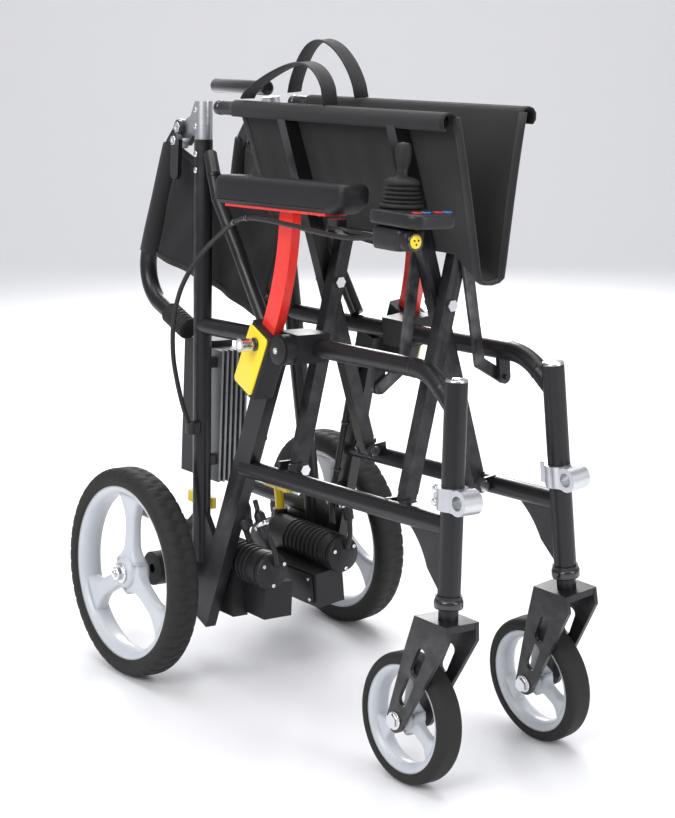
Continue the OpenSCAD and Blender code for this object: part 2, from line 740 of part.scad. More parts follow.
module at_caster(side)
    on_side(side) translate([0, post_y(caster_w) + caster_trail, caster_w]) rotate([0, 90, 0]) children();

// Cross section of a tyre, with a rounded tread and a flat inner face on the rim
module tyre_section(r, h, width, corner) {
    intersection() {
        union() {
            translate([r - h - 1, -width / 2 + 3]) square([h + 1 - corner, width - 6]);
            translate([r - h + 3, -width / 2]) square([h - corner - 3, width]);
            translate([r - corner, -width / 2 + corner]) square([corner, width - 2 * corner]);
            for (end = [-1, 1]) translate([r - corner, end * (width / 2 - corner)]) circle(r = corner);
        }
        translate([r - h, -width]) square([2 * h, 2 * width]);
    }
}

module rear_tyre(side)
    at_wheel(side) color(rubber_black) rotate_extrude($fn = 96)
        tyre_section(rear_r, tyre_h, rear_tyre_w, tread_r);

module caster_tyre(side)
    at_caster(side) color(rubber_black) rotate_extrude($fn = 96)
        tyre_section(caster_r, caster_tyre_h, caster_tyre_w, caster_tread_r);

// Three-spoked wheel centre: a rim ring, a hub and spokes that flare into the rim
module spoked_rim(rim_r, rim_t, width, hub_r, hub_w, waist) {
    rotate_extrude($fn = 96) translate([rim_r - rim_t, -width / 2]) square([rim_t, width]);
    translate([0, 0, -hub_w / 2]) cylinder(h = hub_w, r = hub_r);
    for (turn = [0, 120, 240]) rotate([0, 0, 180 + turn]) translate([0, 0, -width * 0.3])
        linear_extrude(width * 0.6) polygon([
            [hub_r * 0.5, -hub_r * 0.8], [hub_r * 1.3, -waist], [rim_r * 0.7, -waist],
            [rim_r - rim_t + 1, -waist * 2.1], [rim_r - rim_t + 1, waist * 2.1], [rim_r * 0.7, waist],
            [hub_r * 1.3, waist], [hub_r * 0.5, hub_r * 0.8]]);
}

// Rear wheel centre with its drive axle and hex nut
module rear_rim(side) {
    hub_w = 30;
    at_wheel(side) color(rim_grey) {
        spoked_rim(rear_r - tyre_h, 12, rear_tyre_w - 8, 20, hub_w, 11);
        translate([0, 0, -wheel_u + 8]) cylinder(h = wheel_u, r = axle_r);
        translate([0, 0, hub_w / 2 - 1]) cylinder(h = 10, r = 9, $fn = 6);
    }
}

module caster_rim(side) {
    at_caster(side) color(rim_grey) difference() {
        spoked_rim(caster_r - caster_tyre_h, 8, caster_tyre_w - 6, 13, caster_tyre_w + 3, 7);
        translate([0, 0, -40]) cylinder(h = 80, r = 5 + run_gap);
    }
}

// Axle bolt through the fork, with its head and lock nut
module caster_axle(side) {
    leg_out = caster_tyre_w / 2 + fork_gap + fork_t;
    at_caster(side) color(bare_metal) {
        translate([0, 0, -leg_out]) cylinder(h = 2 * leg_out, r = 5);
        translate([0, 0, leg_out]) cylinder(h = 6, r = 8.5, $fn = 6);
        translate([0, 0, -leg_out - 7]) cylinder(h = 7, r = 8.5, $fn = 6);
    }
}

// Caster fork: a crown on its stem, and two slotted legs trailing back to the axle
module caster_fork(side) {
    leg_u = caster_tyre_w / 2 + fork_gap;
    stem_y = post_y(crown_w);
    axle = [post_y(caster_w) + caster_trail, caster_w];
    slope = atan((axle[0] - stem_y) / (crown_w - axle[1]));
    on_side(side) color(black_paint) difference() {
        union() {
            for (u0 = [-leg_u - fork_t, leg_u]) translate([u0, 0, 0]) rotate([90, 0, 90])
                linear_extrude(fork_t) difference() {
                    union() {
                        translate(axle) circle(r = 14);
                        polygon([[axle[0] - 13, axle[1] - 4], [axle[0] + 13.5, axle[1] + 4],
                                 [stem_y + 44, crown_w - 34], [stem_y + 30, crown_w + 8],
                                 [stem_y - 24, crown_w + 8], [stem_y - 26, crown_w - 12]]);
                    }
                    for (part = [0.34, 0.68]) translate(axle * (1 - part) + [stem_y + 4, crown_w - 8] * part)
                        rotate([0, 0, slope]) {
                            translate([-7, -12]) square([14, 24]);
                            for (end = [-12, 12]) translate([0, end]) circle(r = 7);
                        }
                }
            translate([-leg_u - fork_t, stem_y - 24, crown_w]) cube([2 * (leg_u + fork_t), 54, 8]);
            rod([0, stem_y, crown_w], [0, post_y(post_bottom_w + 60), post_bottom_w + 60], stem_d / 2);
            rod([0, post_y(crown_w + 6), crown_w + 6], [0, post_y(post_bottom_w - 0.6), post_bottom_w - 0.6], 11);
        }
        translate([-60, axle[0], axle[1]]) rotate([0, 90, 0]) cylinder(h = 120, r = 5 + run_gap);
    }
}

// ---- Drive ----

module drive_motor(side) {
    on_side(side) color(black_plastic) difference() {
        union() {
            bar_u(-46, -4.6, wheel_y, wheel_w, gearbox_r);
            bar_u(-6, 40, wheel_y, wheel_w, nose_r);
            translate([motor_u, motor_front_y, motor_w]) rotate([-90, 0, 0])
                cylinder(h = wheel_y - motor_front_y - 22, r = motor_r);
            translate([motor_u, motor_front_y - 6, motor_w]) rotate([-90, 0, 0]) cylinder(h = 12, r = motor_r + 1);
            translate([-74, 404, 92]) cube([42, 119, 46]);
            translate([-34, 444, 88]) cube([22, 46, 60]);
            translate([lever_post_u, lever_post_y, 150]) cylinder(h = 34, r = 10);
        }
        bar_u(0, 60, wheel_y, wheel_w, axle_r + run_gap);
        translate([lever_post_u, lever_post_y, 160]) cylinder(h = 26, r = lever_post_r + run_gap);
    }
}

// Yellow lever that frees the drive for pushing
module freewheel_lever(side) {
    on_side(side) color(yellow_plate) {
        translate([lever_post_u, lever_post_y, 161]) cylinder(h = 55, r = lever_post_r);
        translate([lever_post_u, lever_post_y, 212]) pillar([10, 58, 14], 4);
    }
}

// Battery pack that lifts off upward behind the controller
module battery_pack() {
    on_side(-1) color(black_plastic)
        translate([pack_u, (pack_y[0] + pack_y[1]) / 2, pack_ws[0]])
            pillar([pack_w, pack_y[1] - pack_y[0], pack_ws[1] - pack_ws[0]], 6);
}

// Motor controller in a finned alloy housing
module controller() {
    depth = controller_y[1] - controller_y[0];
    height = pack_ws[1] - pack_ws[0] - 8;
    on_side(-1) color(bare_metal) translate([pack_u - pack_w / 2, controller_y[0], pack_ws[0]]) {
        translate([0, 8, 0]) cube([pack_w, depth - 8, height]);
        for (k = [0 : 5]) translate([k * (pack_w - 3) / 5, 0, 0]) cube([3, 9, height]);
    }
}

// Wires tied along the inboard side of the strut, past the lower rail's end and down to the motor
module wiring(side) {
    wire_u = -rail_r - 5;
    on_side(side) color(black_plastic)
        swept_tube(smooth_route([[-12.5, strut_y(420), 420], [wire_u, strut_y(330), 330],
                                 [wire_u, strut_y(265), 265], [wire_u, strut_y(225), 225],
                                 [-24, strut_y(205) - 14, motor_w + motor_r + 8]], 4), 4, 8);
}

// ---- Joystick ----

module joystick_case() {
    on_side(-1) color(black_plastic) difference() {
        union() {
            translate([case_u, case_y, case_bottom_w]) pillar([case_w, case_len, case_h], 16);
            translate([52, 67, case_bottom_w - 24]) pillar([36, 50, 25], 6);
            translate([36, 86, case_bottom_w - 20]) cube([16, 110, 9]);
            translate([36, 176, case_bottom_w - 20]) cube([16, 20, 15]);
        }
        translate([case_u, stick_y, case_bottom_w + 2]) cylinder(h = case_h, r = 17);
        translate([case_u - 20, stick_y, stick_pivot_w]) rotate([0, 90, 0]) cylinder(h = 40, r = 2 + run_gap);
        for (u = key_us) translate([u - key_size[0] / 2 - 0.3, key_y - key_size[1] / 2 - 0.3, case_top_w - 3.6])
            cube([key_size[0] + 0.6, key_size[1] + 0.6, 5]);
        // Pad plate clearance
        at_pad() translate([-pad_w, -pad_len, -0.2]) cube([2 * pad_w, pad_len, 20]);
        // Charging socket
        translate([58, 30, case_bottom_w - 12]) rotate([-90, 0, 0]) cylinder(h = 18, r = 6);
    }
}

// Rubber boot: collar, bellows and dome, open down the middle for the stick
module joystick_boot() {
    neck_r = 9;
    ring_h = 5;
    on_side(-1) color(rubber_black) translate([case_u, stick_y, case_top_w + 0.1]) difference() {
        union() {
            cylinder(h = 4, r = collar_d / 2);
            for (k = [0 : 3]) translate([0, 0, 4 + k * ring_h]) {
                cylinder(h = ring_h, r = collar_d / 2 - 7 - k);
                cylinder(h = ring_h / 2, r = collar_d / 2 - 2 - k);
            }
            translate([0, 0, 24]) cylinder(h = 8, r1 = boot_top_d / 2, r2 = neck_r + 2);
        }
        translate([0, 0, -1]) cylinder(h = 23, r = 12);
        cylinder(h = 40, r = neck_r);
    }
}

module joystick_stick() {
    on_side(-1) color(black_plastic) translate([case_u, stick_y, stick_pivot_w]) {
        sphere(r = 6);
        cylinder(h = 48, r = 3.5);
        translate([0, 0, 42]) cylinder(h = 30, r1 = 5.5, r2 = 7.5);
        translate([0, 0, 72]) cylinder(h = 4, r1 = 7.5, r2 = 5);
        rotate([90, 0, 0]) translate([0, 0, -11]) cylinder(h = 22, r = 2);
    }
}

// Ring between the stick and the case, so that the stick tilts two ways
module joystick_gimbal() {
    on_side(-1) color(bare_metal) translate([case_u, stick_y, stick_pivot_w]) {
        difference() {
            translate([0, 0, -3]) cylinder(h = 6, r = 12.5);
            translate([0, 0, -4]) cylinder(h = 8, r = 8.5);
            rotate([90, 0, 0]) translate([0, 0, -20]) cylinder(h = 40, r = 2 + run_gap);
        }
        for (end = [0, 180]) rotate([0, 90, end]) translate([0, 0, 11]) cylinder(h = 8, r = 2);
    }
}

module key(number) {
    on_side(-1) color(number % 2 == 0 ? "#b5384a" : "#2b7fb8")
        translate([key_us[number] - key_size[0] / 2, key_y - key_size[1] / 2, case_top_w - 2.4])
            cube([key_size[0], key_size[1], 3.4]);
}

module joystick_lead()
    on_side(-1) color(black_plastic) swept_tube(smooth_route(lead_route, 4), lead_r, 8);

// ---- The pieces ----

side_frame(-1);  // side_frame_right
side_frame(1);  // side_frame_left
hinge_bracket(-1);  // hinge_bracket_right
hinge_bracket(1);  // hinge_bracket_left
legrest_clamp(-1);  // legrest_clamp_right
legrest_clamp(1);  // legrest_clamp_left
cross_frame(0);  // cross_frame_a
cross_frame(arm_step);  // cross_frame_b
cross_bolts(0);  // cross_bolts_a
cross_bolts(arm_step);  // cross_bolts_b
seat_sling();
carry_strap(-1);  // carry_strap_right
carry_strap(1);  // carry_strap_left
link(-1);  // link_right
link(1);  // link_left
cane(-1);  // cane_right
cane(1);  // cane_left
push_grip(-1);  // push_grip_right
push_grip(1);  // push_grip_left
back_panel(-1);  // back_panel_right
back_panel(1);  // back_panel_left
latch_lever(-1);  // latch_lever_right
latch_lever(1);  // latch_lever_left
arm_tube(-1);  // arm_tube_right
arm_tube(1);  // arm_tube_left
arm_pad(-1);  // arm_pad_right
arm_pad(1);  // arm_pad_left
arm_socket(-1);  // arm_socket_right
arm_socket(1);  // arm_socket_left
plunger(-1);  // plunger_right
plunger(1);  // plunger_left
rear_tyre(-1);  // rear_tyre_right
rear_tyre(1);  // rear_tyre_left
rear_rim(-1);  // rear_rim_right
rear_rim(1);  // rear_rim_left
drive_motor(-1);  // drive_motor_right
drive_motor(1);  // drive_motor_left
freewheel_lever(-1);  // freewheel_lever_right
freewheel_lever(1);  // freewheel_lever_left
caster_fork(-1);  // caster_fork_right
caster_fork(1);  // caster_fork_left
caster_tyre(-1);  // caster_tyre_right
caster_tyre(1);  // caster_tyre_left
caster_rim(-1);  // caster_rim_right
caster_rim(1);  // caster_rim_left
caster_axle(-1);  // caster_axle_right
caster_axle(1);  // caster_axle_left
joystick_case();
joystick_boot();
joystick_stick();
joystick_gimbal();
key(0);  // horn_key
key(1);  // power_key
key(2);  // slower_key
key(3);  // faster_key
joystick_lead();
battery_pack();
controller();
wiring(-1);  // wiring_right
wiring(1);  // wiring_left
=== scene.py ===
# %% [markdown]
# # A folding power wheelchair, folded for carrying
# The rigid chair comes from a CAD frame with named parts that move on joints. This lesson adds what a
# CAD solid can't say: cloth that hangs, moulded rubber, tyre tread, small hardware, and finishes with
# grain, weave and wear. Most new pieces ride on one of the frame's bodies; the seat cloth, its bound
# edges, the joystick boot and the joystick lead ride on none.

# %% Load the frame
import json
import math

import bmesh
import bpy
from mathutils import Matrix, Vector, noise


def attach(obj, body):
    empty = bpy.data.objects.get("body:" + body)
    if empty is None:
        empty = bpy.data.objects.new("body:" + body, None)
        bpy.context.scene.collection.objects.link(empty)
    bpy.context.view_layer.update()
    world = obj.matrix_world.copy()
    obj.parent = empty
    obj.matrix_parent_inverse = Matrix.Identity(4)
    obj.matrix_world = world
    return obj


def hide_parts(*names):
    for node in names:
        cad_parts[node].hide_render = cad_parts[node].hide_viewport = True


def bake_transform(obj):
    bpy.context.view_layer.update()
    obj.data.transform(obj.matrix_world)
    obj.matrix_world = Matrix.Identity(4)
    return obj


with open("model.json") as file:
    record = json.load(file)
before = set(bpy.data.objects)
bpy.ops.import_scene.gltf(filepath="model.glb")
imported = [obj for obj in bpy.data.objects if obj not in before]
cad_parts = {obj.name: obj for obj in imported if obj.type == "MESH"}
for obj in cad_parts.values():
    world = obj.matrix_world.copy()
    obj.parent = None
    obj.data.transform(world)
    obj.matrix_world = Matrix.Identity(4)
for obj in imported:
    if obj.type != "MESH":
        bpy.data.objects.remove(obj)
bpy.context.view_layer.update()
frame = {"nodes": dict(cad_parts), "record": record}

# %% [markdown]
# ## Places on the chair
# Each side frame lies in a plane that leans inward by the camber angle, so most pieces are easiest to
# place in that plane: u outward, y to the rear, w up. One function turns such a place, in millimetres,
# into the frame's metres, and mirrors it for the right side.

# %% Side-frame coordinates
CAMBER = math.radians(3.98)
FRAME_FOOT_X = 101.7
MID_Y = 337.03
RIGHT, LEFT = -1, 1
SIDES = ((RIGHT, "right"), (LEFT, "left"))
POST_RAKE, REAR_RAKE = math.radians(1.67), math.radians(2.5)
CANE_FALL = math.radians(199.6)
POST_FOOT_Y, REAR_FOOT_Y = 7.2, 497
HINGE_Y, HINGE_W = 574, 698
CLAMP_W, POST_TOP_W = 338, 465


def at(side, u, y, w):
    """A place in a side frame's own plane, in the row frame."""
    x = FRAME_FOOT_X + u * math.cos(CAMBER) - w * math.sin(CAMBER)
    return Vector((side * x, y - MID_Y, u * math.sin(CAMBER) + w * math.cos(CAMBER))) / 1000


def across(side, x, y, z):
    """A place given across the chair, with y from the same zero as at()."""
    return Vector((side * x, y - MID_Y, z)) / 1000


def on_cane(side, x, y, z):
    """A place by the folded cane: z down the cane from its hinge and y forward of it."""
    turn = (math.cos(CANE_FALL), math.sin(CANE_FALL))
    return at(side, x, HINGE_Y + y * turn[0] - z * turn[1], HINGE_W + y * turn[1] + z * turn[0])


def post_y(w):
    return POST_FOOT_Y + w * math.tan(POST_RAKE)


def rear_y(w):
    return REAR_FOOT_Y + w * math.tan(REAR_RAKE)


def strut_y(w):
    return 352 + (452 - w) * 140 / 378


post_top = at(RIGHT, 0, post_y(POST_TOP_W), POST_TOP_W)
print("top of the right front post is at", [round(v, 3) for v in post_top])

# %% [markdown]
# ## Shape makers
# Three makers cover nearly every small piece: a lathe for what is round, a sweep for tubes, cables and
# webbing, and a loft for moulded bodies. Each takes a function that puts a point in its place, so the
# same code makes the left and the right piece.

# %% Turn points and faces into a piece
def piece(name, points, faces, material, body=None, smooth=True, thickness=0, bevel=0, rounds=0):
    mesh = bpy.data.meshes.new(name)
    mesh.from_pydata([tuple(p) for p in points], [], faces)
    bm = bmesh.new()
    bm.from_mesh(mesh)
    bmesh.ops.remove_doubles(bm, verts=bm.verts, dist=1e-6)
    bmesh.ops.recalc_face_normals(bm, faces=bm.faces)
    for face in bm.faces:
        face.smooth = smooth
    bm.to_mesh(mesh)
    bm.free()
    obj = bpy.data.objects.new(name, mesh)
    bpy.context.scene.collection.objects.link(obj)
    mesh.materials.append(material)
    if thickness:
        solid = obj.modifiers.new("thickness", "SOLIDIFY")
        solid.thickness = thickness
        solid.offset = 0
    if bevel:
        edge = obj.modifiers.new("edges", "BEVEL")
        edge.width = bevel
        edge.segments = 2
        edge.limit_method = "ANGLE"
        edge.angle_limit = math.radians(35)
    if rounds:
        obj.modifiers.new("round", "SUBSURF").levels = rounds
        obj.modifiers["round"].render_levels = rounds
    if body:
        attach(obj, body)
    return obj


# %% Lathe, sweep and loft
def axis_frame(axis):
    along = Vector(axis).normalized()
    first = along.cross(Vector((0.31, 0.17, 0.93))).normalized()
    return first, along.cross(first), along


def lathe(profile, centre, axis, put, sides=48, closed=False):
    """Points and faces of a profile of (radius, distance along the axis) turned about the axis."""
    first, second, along = axis_frame(axis)
    points, faces = [], []
    for r, h in profile:
        for k in range(sides):
            a = 2 * math.pi * k / sides
            p = Vector(centre) + along * h + (first * math.cos(a) + second * math.sin(a)) * r
            points.append(put(*p))
    rows = len(profile)
    for i in range(rows if closed else rows - 1):
        j = (i + 1) % rows
        for k in range(sides):
            n = (k + 1) % sides
            faces.append((i * sides + k, i * sides + n, j * sides + n, j * sides + k))
    if not closed:
        faces.append(tuple(range(sides)))
        faces.append(tuple((rows - 1) * sides + k for k in range(sides)))
    return points, faces


def smooth_route(route, steps=5):
    """A Catmull-Rom curve through a route's points."""
    pts = [Vector(p) for p in route]
    out = []
    for i in range(len(pts) - 1):
        a, b, c, d = pts[max(i - 1, 0)], pts[i], pts[i + 1], pts[min(i + 2, len(pts) - 1)]
        for k in range(steps):
            t = k / steps
            out.append(0.5 * (2 * b + (c - a) * t + (2 * a - 5 * b + 4 * c - d) * t * t
                              + (3 * b - a - 3 * c + d) * t ** 3))
    return out + [pts[-1]]


def sweep(route, section, put, way=(1, 0, 0)):
    """Points and faces of a closed section of (across, up) swept along a route."""
    points, faces, count = [], [], len(section)
    for i, p in enumerate(route):
        along = (route[min(i + 1, len(route) - 1)] - route[max(i - 1, 0)]).normalized()
        up = along.cross(Vector(way)).normalized()
        side = up.cross(along).normalized()
        for a, b in section:
            points.append(put(*(p + side * a + up * b)))
    for i in range(len(route) - 1):
        for k in range(count):
            n = (k + 1) % count
            faces.append((i * count + k, i * count + n, (i + 1) * count + n, (i + 1) * count + k))
    faces.append(tuple(range(count)))
    faces.append(tuple((len(route) - 1) * count + k for k in range(count)))
    return points, faces


def ring(r, sides=12):
    turns = [2 * math.pi * k / sides for k in range(sides)]
    return [(r * math.cos(a), r * math.sin(a)) for a in turns]


def soft_box(a, b, corner, steps=4):
    """A rectangle's outline with round corners."""
    out = []
    for i, (sx, sy) in enumerate(((1, 1), (-1, 1), (-1, -1), (1, -1))):
        for k in range(steps + 1):
            t = math.radians(90 * i + 90 * k / steps)
            out.append((sx * (a / 2 - corner) + corner * math.cos(t),
                        sy * (b / 2 - corner) + corner * math.sin(t)))
    return out


def loft(sections, put):
    """Points and faces through closed sections with the same number of points, capped at both ends."""
    count = len(sections[0])
    points = [put(*p) for s in sections for p in s]
    faces = [(i * count + k, i * count + (k + 1) % count,
              (i + 1) * count + (k + 1) % count, (i + 1) * count + k)
             for i in range(len(sections) - 1) for k in range(count)]
    return points, faces + [tuple(range(count)), tuple((len(sections) - 1) * count + k for k in range(count))]


def placed(side, where=at):
    return lambda a, b, c: where(side, a, b, c)


print("shape makers ready")

# %% [markdown]
# ## Effects that several finishes share
# Paint, plastic and rubber all need fine grain, and paint and metal both wear along their edges. Each
# effect is one node group with its own inputs, so a change to the effect reaches every finish.

# %% Node group helper
def effect(name, inputs, outputs):
    tree = bpy.data.node_groups.new(name, "ShaderNodeTree")
    for label, default in inputs:
        socket = tree.interface.new_socket(label, in_out="INPUT", socket_type="NodeSocketFloat")
        socket.default_value = default
    for label in outputs:
        tree.interface.new_socket(label, in_out="OUTPUT", socket_type="NodeSocketFloat")
    return tree, tree.nodes.new("NodeGroupInput"), tree.nodes.new("NodeGroupOutput")


def maths(tree, kind, a, b=None):
    node = tree.nodes.new("ShaderNodeMath")
    node.operation = kind
    for k, value in enumerate((a, b)):
        if value is None:
            continue
        if isinstance(value, (int, float)):
            node.inputs[k].default_value = value
        else:
            tree.links.new(value, node.inputs[k])
    return node.outputs[0]


# %% Fine grain
grain, g_in, g_out = effect("fine grain", [("Scale", 900.0), ("Cloudiness", 14.0)], ["Height", "Cloud"])
where = grain.nodes.new("ShaderNodeTexCoord")
speck = grain.nodes.new("ShaderNodeTexNoise")
cloud = grain.nodes.new("ShaderNodeTexNoise")
speck.inputs["Detail"].default_value = 3
cloud.inputs["Detail"].default_value = 4
grain.links.new(where.outputs["Object"], speck.inputs["Vector"])
grain.links.new(where.outputs["Object"], cloud.inputs["Vector"])
grain.links.new(g_in.outputs["Scale"], speck.inputs["Scale"])
grain.links.new(g_in.outputs["Cloudiness"], cloud.inputs["Scale"])
grain.links.new(speck.outputs["Fac"], g_out.inputs["Height"])
grain.links.new(cloud.outputs["Fac"], g_out.inputs["Cloud"])

# %% Worn edges
worn, w_in, w_out = effect("worn edges", [("Amount", 1.0)], ["Mask"])
shape = worn.nodes.new("ShaderNodeNewGeometry")
patch = worn.nodes.new("ShaderNodeTexNoise")
spot = worn.nodes.new("ShaderNodeTexCoord")
patch.inputs["Scale"].default_value = 60
worn.links.new(spot.outputs["Object"], patch.inputs["Vector"])
edge_line = maths(worn, "MULTIPLY", maths(worn, "SUBTRACT", shape.outputs["Pointiness"], 0.54), 9.0)
patched = maths(worn, "MULTIPLY", edge_line, maths(worn, "SUBTRACT", patch.outputs["Fac"], 0.3))
clamped = worn.nodes.new("ShaderNodeClamp")
worn.links.new(maths(worn, "MULTIPLY", patched, w_in.outputs["Amount"]), clamped.inputs["Value"])
worn.links.new(clamped.outputs[0], w_out.inputs["Mask"])

# %% Woven threads
weave, t_in, t_out = effect("woven threads", [("Threads", 1500.0)], ["Height", "Shade"])
spot = weave.nodes.new("ShaderNodeTexCoord")
parts = weave.nodes.new("ShaderNodeSeparateXYZ")
weave.links.new(spot.outputs["Object"], parts.inputs[0])
flat_way = maths(weave, "ADD", parts.outputs["Y"], maths(weave, "MULTIPLY", parts.outputs["X"], 0.7))
warp = maths(weave, "SINE", maths(weave, "MULTIPLY", flat_way, t_in.outputs["Threads"]))
weft = maths(weave, "SINE", maths(weave, "MULTIPLY", parts.outputs["Z"], t_in.outputs["Threads"]))
crossing = maths(weave, "MULTIPLY", warp, weft)
weave.links.new(crossing, t_out.inputs["Height"])
fade = weave.nodes.new("ShaderNodeTexNoise")
fade.inputs["Scale"].default_value = 22
fade.inputs["Detail"].default_value = 6
weave.links.new(spot.outputs["Object"], fade.inputs["Vector"])
weave.links.new(fade.outputs["Fac"], t_out.inputs["Shade"])
print("effects:", [tree.name for tree in (grain, worn, weave)])

# %% [markdown]
# ## Finishes
# A finish is a Principled shader with a base colour, a grain that moves its roughness and its surface,
# and, on paint and metal, wear that shows at the edges. The plain values stay on the shader's sockets.

# %% One maker for painted, metal and moulded finishes
def finish_of(name, base, worn_to, roughness, metallic=0.0, coat=0.0, grain_scale=900.0, bump=0.12, wear=0.0,
              swing=0.12, shine=0.5):
    mat = bpy.data.materials.new(name)
    mat.use_nodes = True
    tree = mat.node_tree
    shader = tree.nodes["Principled BSDF"]
    shader.inputs["Metallic"].default_value = metallic
    shader.inputs["Coat Weight"].default_value = coat
    shader.inputs["Coat Roughness"].default_value = 0.12
    shader.inputs["Specular IOR Level"].default_value = shine
    texture = tree.nodes.new("ShaderNodeGroup")
    texture.node_tree = grain
    texture.inputs["Scale"].default_value = grain_scale
    colour = tree.nodes.new("ShaderNodeMix")
    colour.data_type = "RGBA"
    colour.inputs["A"].default_value = (*base, 1)
    colour.inputs["B"].default_value = (*[min(1, v * 1.5 + 0.004) for v in base], 1)
    tree.links.new(texture.outputs["Cloud"], colour.inputs["Factor"])
    result = colour.outputs["Result"]
    if wear:
        edges = tree.nodes.new("ShaderNodeGroup")
        edges.node_tree = worn
        edges.inputs["Amount"].default_value = wear
        rub = tree.nodes.new("ShaderNodeMix")
        rub.data_type = "RGBA"
        rub.inputs["B"].default_value = (*worn_to, 1)
        tree.links.new(edges.outputs["Mask"], rub.inputs["Factor"])
        tree.links.new(result, rub.inputs["A"])
        result = rub.outputs["Result"]
    tree.links.new(result, shader.inputs["Base Color"])
    spread = tree.nodes.new("ShaderNodeMapRange")
    spread.inputs["To Min"].default_value = max(0.02, roughness - swing)
    spread.inputs["To Max"].default_value = min(1, roughness + swing)
    tree.links.new(texture.outputs["Cloud"], spread.inputs["Value"])
    tree.links.new(spread.outputs["Result"], shader.inputs["Roughness"])
    relief = tree.nodes.new("ShaderNodeBump")
    relief.inputs["Strength"].default_value = bump
    relief.inputs["Distance"].default_value = 0.0004
    tree.links.new(texture.outputs["Height"], relief.inputs["Height"])
    tree.links.new(relief.outputs["Normal"], shader.inputs["Normal"])
    return mat


# %% Woven finish
def woven(name, base, light, threads, roughness=0.8, bump=0.35, sheen=0.25):
    mat = bpy.data.materials.new(name)
    mat.use_nodes = True
    tree = mat.node_tree
    shader = tree.nodes["Principled BSDF"]
    shader.inputs["Roughness"].default_value = roughness
    shader.inputs["Sheen Weight"].default_value = sheen
    threads_node = tree.nodes.new("ShaderNodeGroup")
    threads_node.node_tree = weave
    threads_node.inputs["Threads"].default_value = threads
    colour = tree.nodes.new("ShaderNodeMix")
    colour.data_type = "RGBA"
    colour.inputs["A"].default_value = (*base, 1)
    colour.inputs["B"].default_value = (*light, 1)
    tree.links.new(threads_node.outputs["Shade"], colour.inputs["Factor"])
    tree.links.new(colour.outputs["Result"], shader.inputs["Base Color"])
    relief = tree.nodes.new("ShaderNodeBump")
    relief.inputs["Strength"].default_value = bump
    relief.inputs["Distance"].default_value = 0.0005
    tree.links.new(threads_node.outputs["Height"], relief.inputs["Height"])
    tree.links.new(relief.outputs["Normal"], shader.inputs["Normal"])
    return mat


# %% The chair's finishes
STEEL_WEAR = (0.35, 0.35, 0.36)
FRAME_BLACK = finish_of("satin_black_frame", (0.006, 0.006, 0.007), STEEL_WEAR, 0.36, coat=0.12, bump=0.1,
                        wear=0.4, shine=0.35)
ALLOY = finish_of("cast_alloy", (0.52, 0.53, 0.55), (0.8, 0.8, 0.8), 0.36, metallic=1.0, grain_scale=420,
                  bump=0.3, wear=0.4)
STEEL = finish_of("bright_steel", (0.62, 0.62, 0.64), (0.85, 0.85, 0.85), 0.22, metallic=1.0, bump=0.08)
FINNED = finish_of("dull_fins", (0.20, 0.205, 0.21), (0.5, 0.5, 0.5), 0.42, metallic=0.9, grain_scale=420,
                   bump=0.2, wear=0.3)
RIM_GREY = finish_of("rim_paint", (0.44, 0.46, 0.49), (0.75, 0.75, 0.75), 0.38, coat=0.3, grain_scale=1500,
                     bump=0.06, wear=0.2)
RED = finish_of("red_enamel", (0.74, 0.022, 0.014), (0.9, 0.35, 0.3), 0.26, coat=0.6, bump=0.04, wear=0.15,
                swing=0.06)
YELLOW = finish_of("yellow_plastic", (0.88, 0.55, 0.01), (0.95, 0.8, 0.3), 0.33, coat=0.2, bump=0.08,
                   wear=0.2)
PAD_SKIN = finish_of("pad_skin", (0.008, 0.008, 0.009), (0.05, 0.05, 0.05), 0.5, grain_scale=620, bump=0.5,
                     shine=0.35)
HOUSING = finish_of("moulded_housing", (0.009, 0.009, 0.010), (0.08, 0.08, 0.08), 0.46, grain_scale=800,
                    bump=0.3, wear=0.3, shine=0.35)
CASE_BLACK = finish_of("joystick_plastic", (0.012, 0.012, 0.013), (0.06, 0.06, 0.06), 0.36,
                       grain_scale=1100, bump=0.2, wear=0.2, shine=0.35)
GLOSS_BLACK = finish_of("gloss_plastic", (0.009, 0.009, 0.010), (0.05, 0.05, 0.05), 0.14, coat=0.6,
                        bump=0.03, swing=0.05)
RUBBER = finish_of("soft_rubber", (0.009, 0.009, 0.009), (0.05, 0.05, 0.05), 0.62, grain_scale=700,
                   bump=0.35, shine=0.35)
TYRE = finish_of("tyre_rubber", (0.012, 0.012, 0.012), (0.07, 0.065, 0.06), 0.72, grain_scale=500, bump=0.5,
                 wear=0.5, shine=0.35)
CABLE = finish_of("cable_sheath", (0.012, 0.012, 0.012), (0.04, 0.04, 0.04), 0.42, bump=0.06, shine=0.35)
KEY_RED = finish_of("red_key", (0.42, 0.03, 0.05), (0.6, 0.3, 0.3), 0.35, bump=0.05)
KEY_BLUE = finish_of("blue_key", (0.03, 0.16, 0.42), (0.3, 0.4, 0.6), 0.35, bump=0.05)
# Near-black painted shade for the dark inside of a hole, used on the charging socket's three pin holes.
PAINTED_HOLE_SHADE = finish_of("painted_hole_shade", (0.004, 0.004, 0.004), (0.01, 0.01, 0.01), 0.7, bump=0.05)
CLOTH = woven("nylon_cloth", (0.004, 0.004, 0.005), (0.012, 0.012, 0.013), 3600.0, bump=0.45, sheen=0.1)
WEBBING = woven("webbing", (0.006, 0.006, 0.007), (0.018, 0.018, 0.02), 2300.0, bump=0.6, sheen=0.15)
THREAD = woven("stitching", (0.03, 0.03, 0.032), (0.06, 0.06, 0.065), 5200.0, bump=0.2)
CLEAR = finish_of("clear_knob", (0.62, 0.63, 0.62), (0.8, 0.8, 0.8), 0.2, coat=0.5, bump=0.05)
print("finishes:", len(bpy.data.materials))

# %% [markdown]
# ## Dress the CAD parts
# The frame's own parts keep their shape. Each gets the finish of its material slot, set on the object's
# slot, and a narrow bevel catches the light on edges that a CAD solid leaves perfectly sharp.

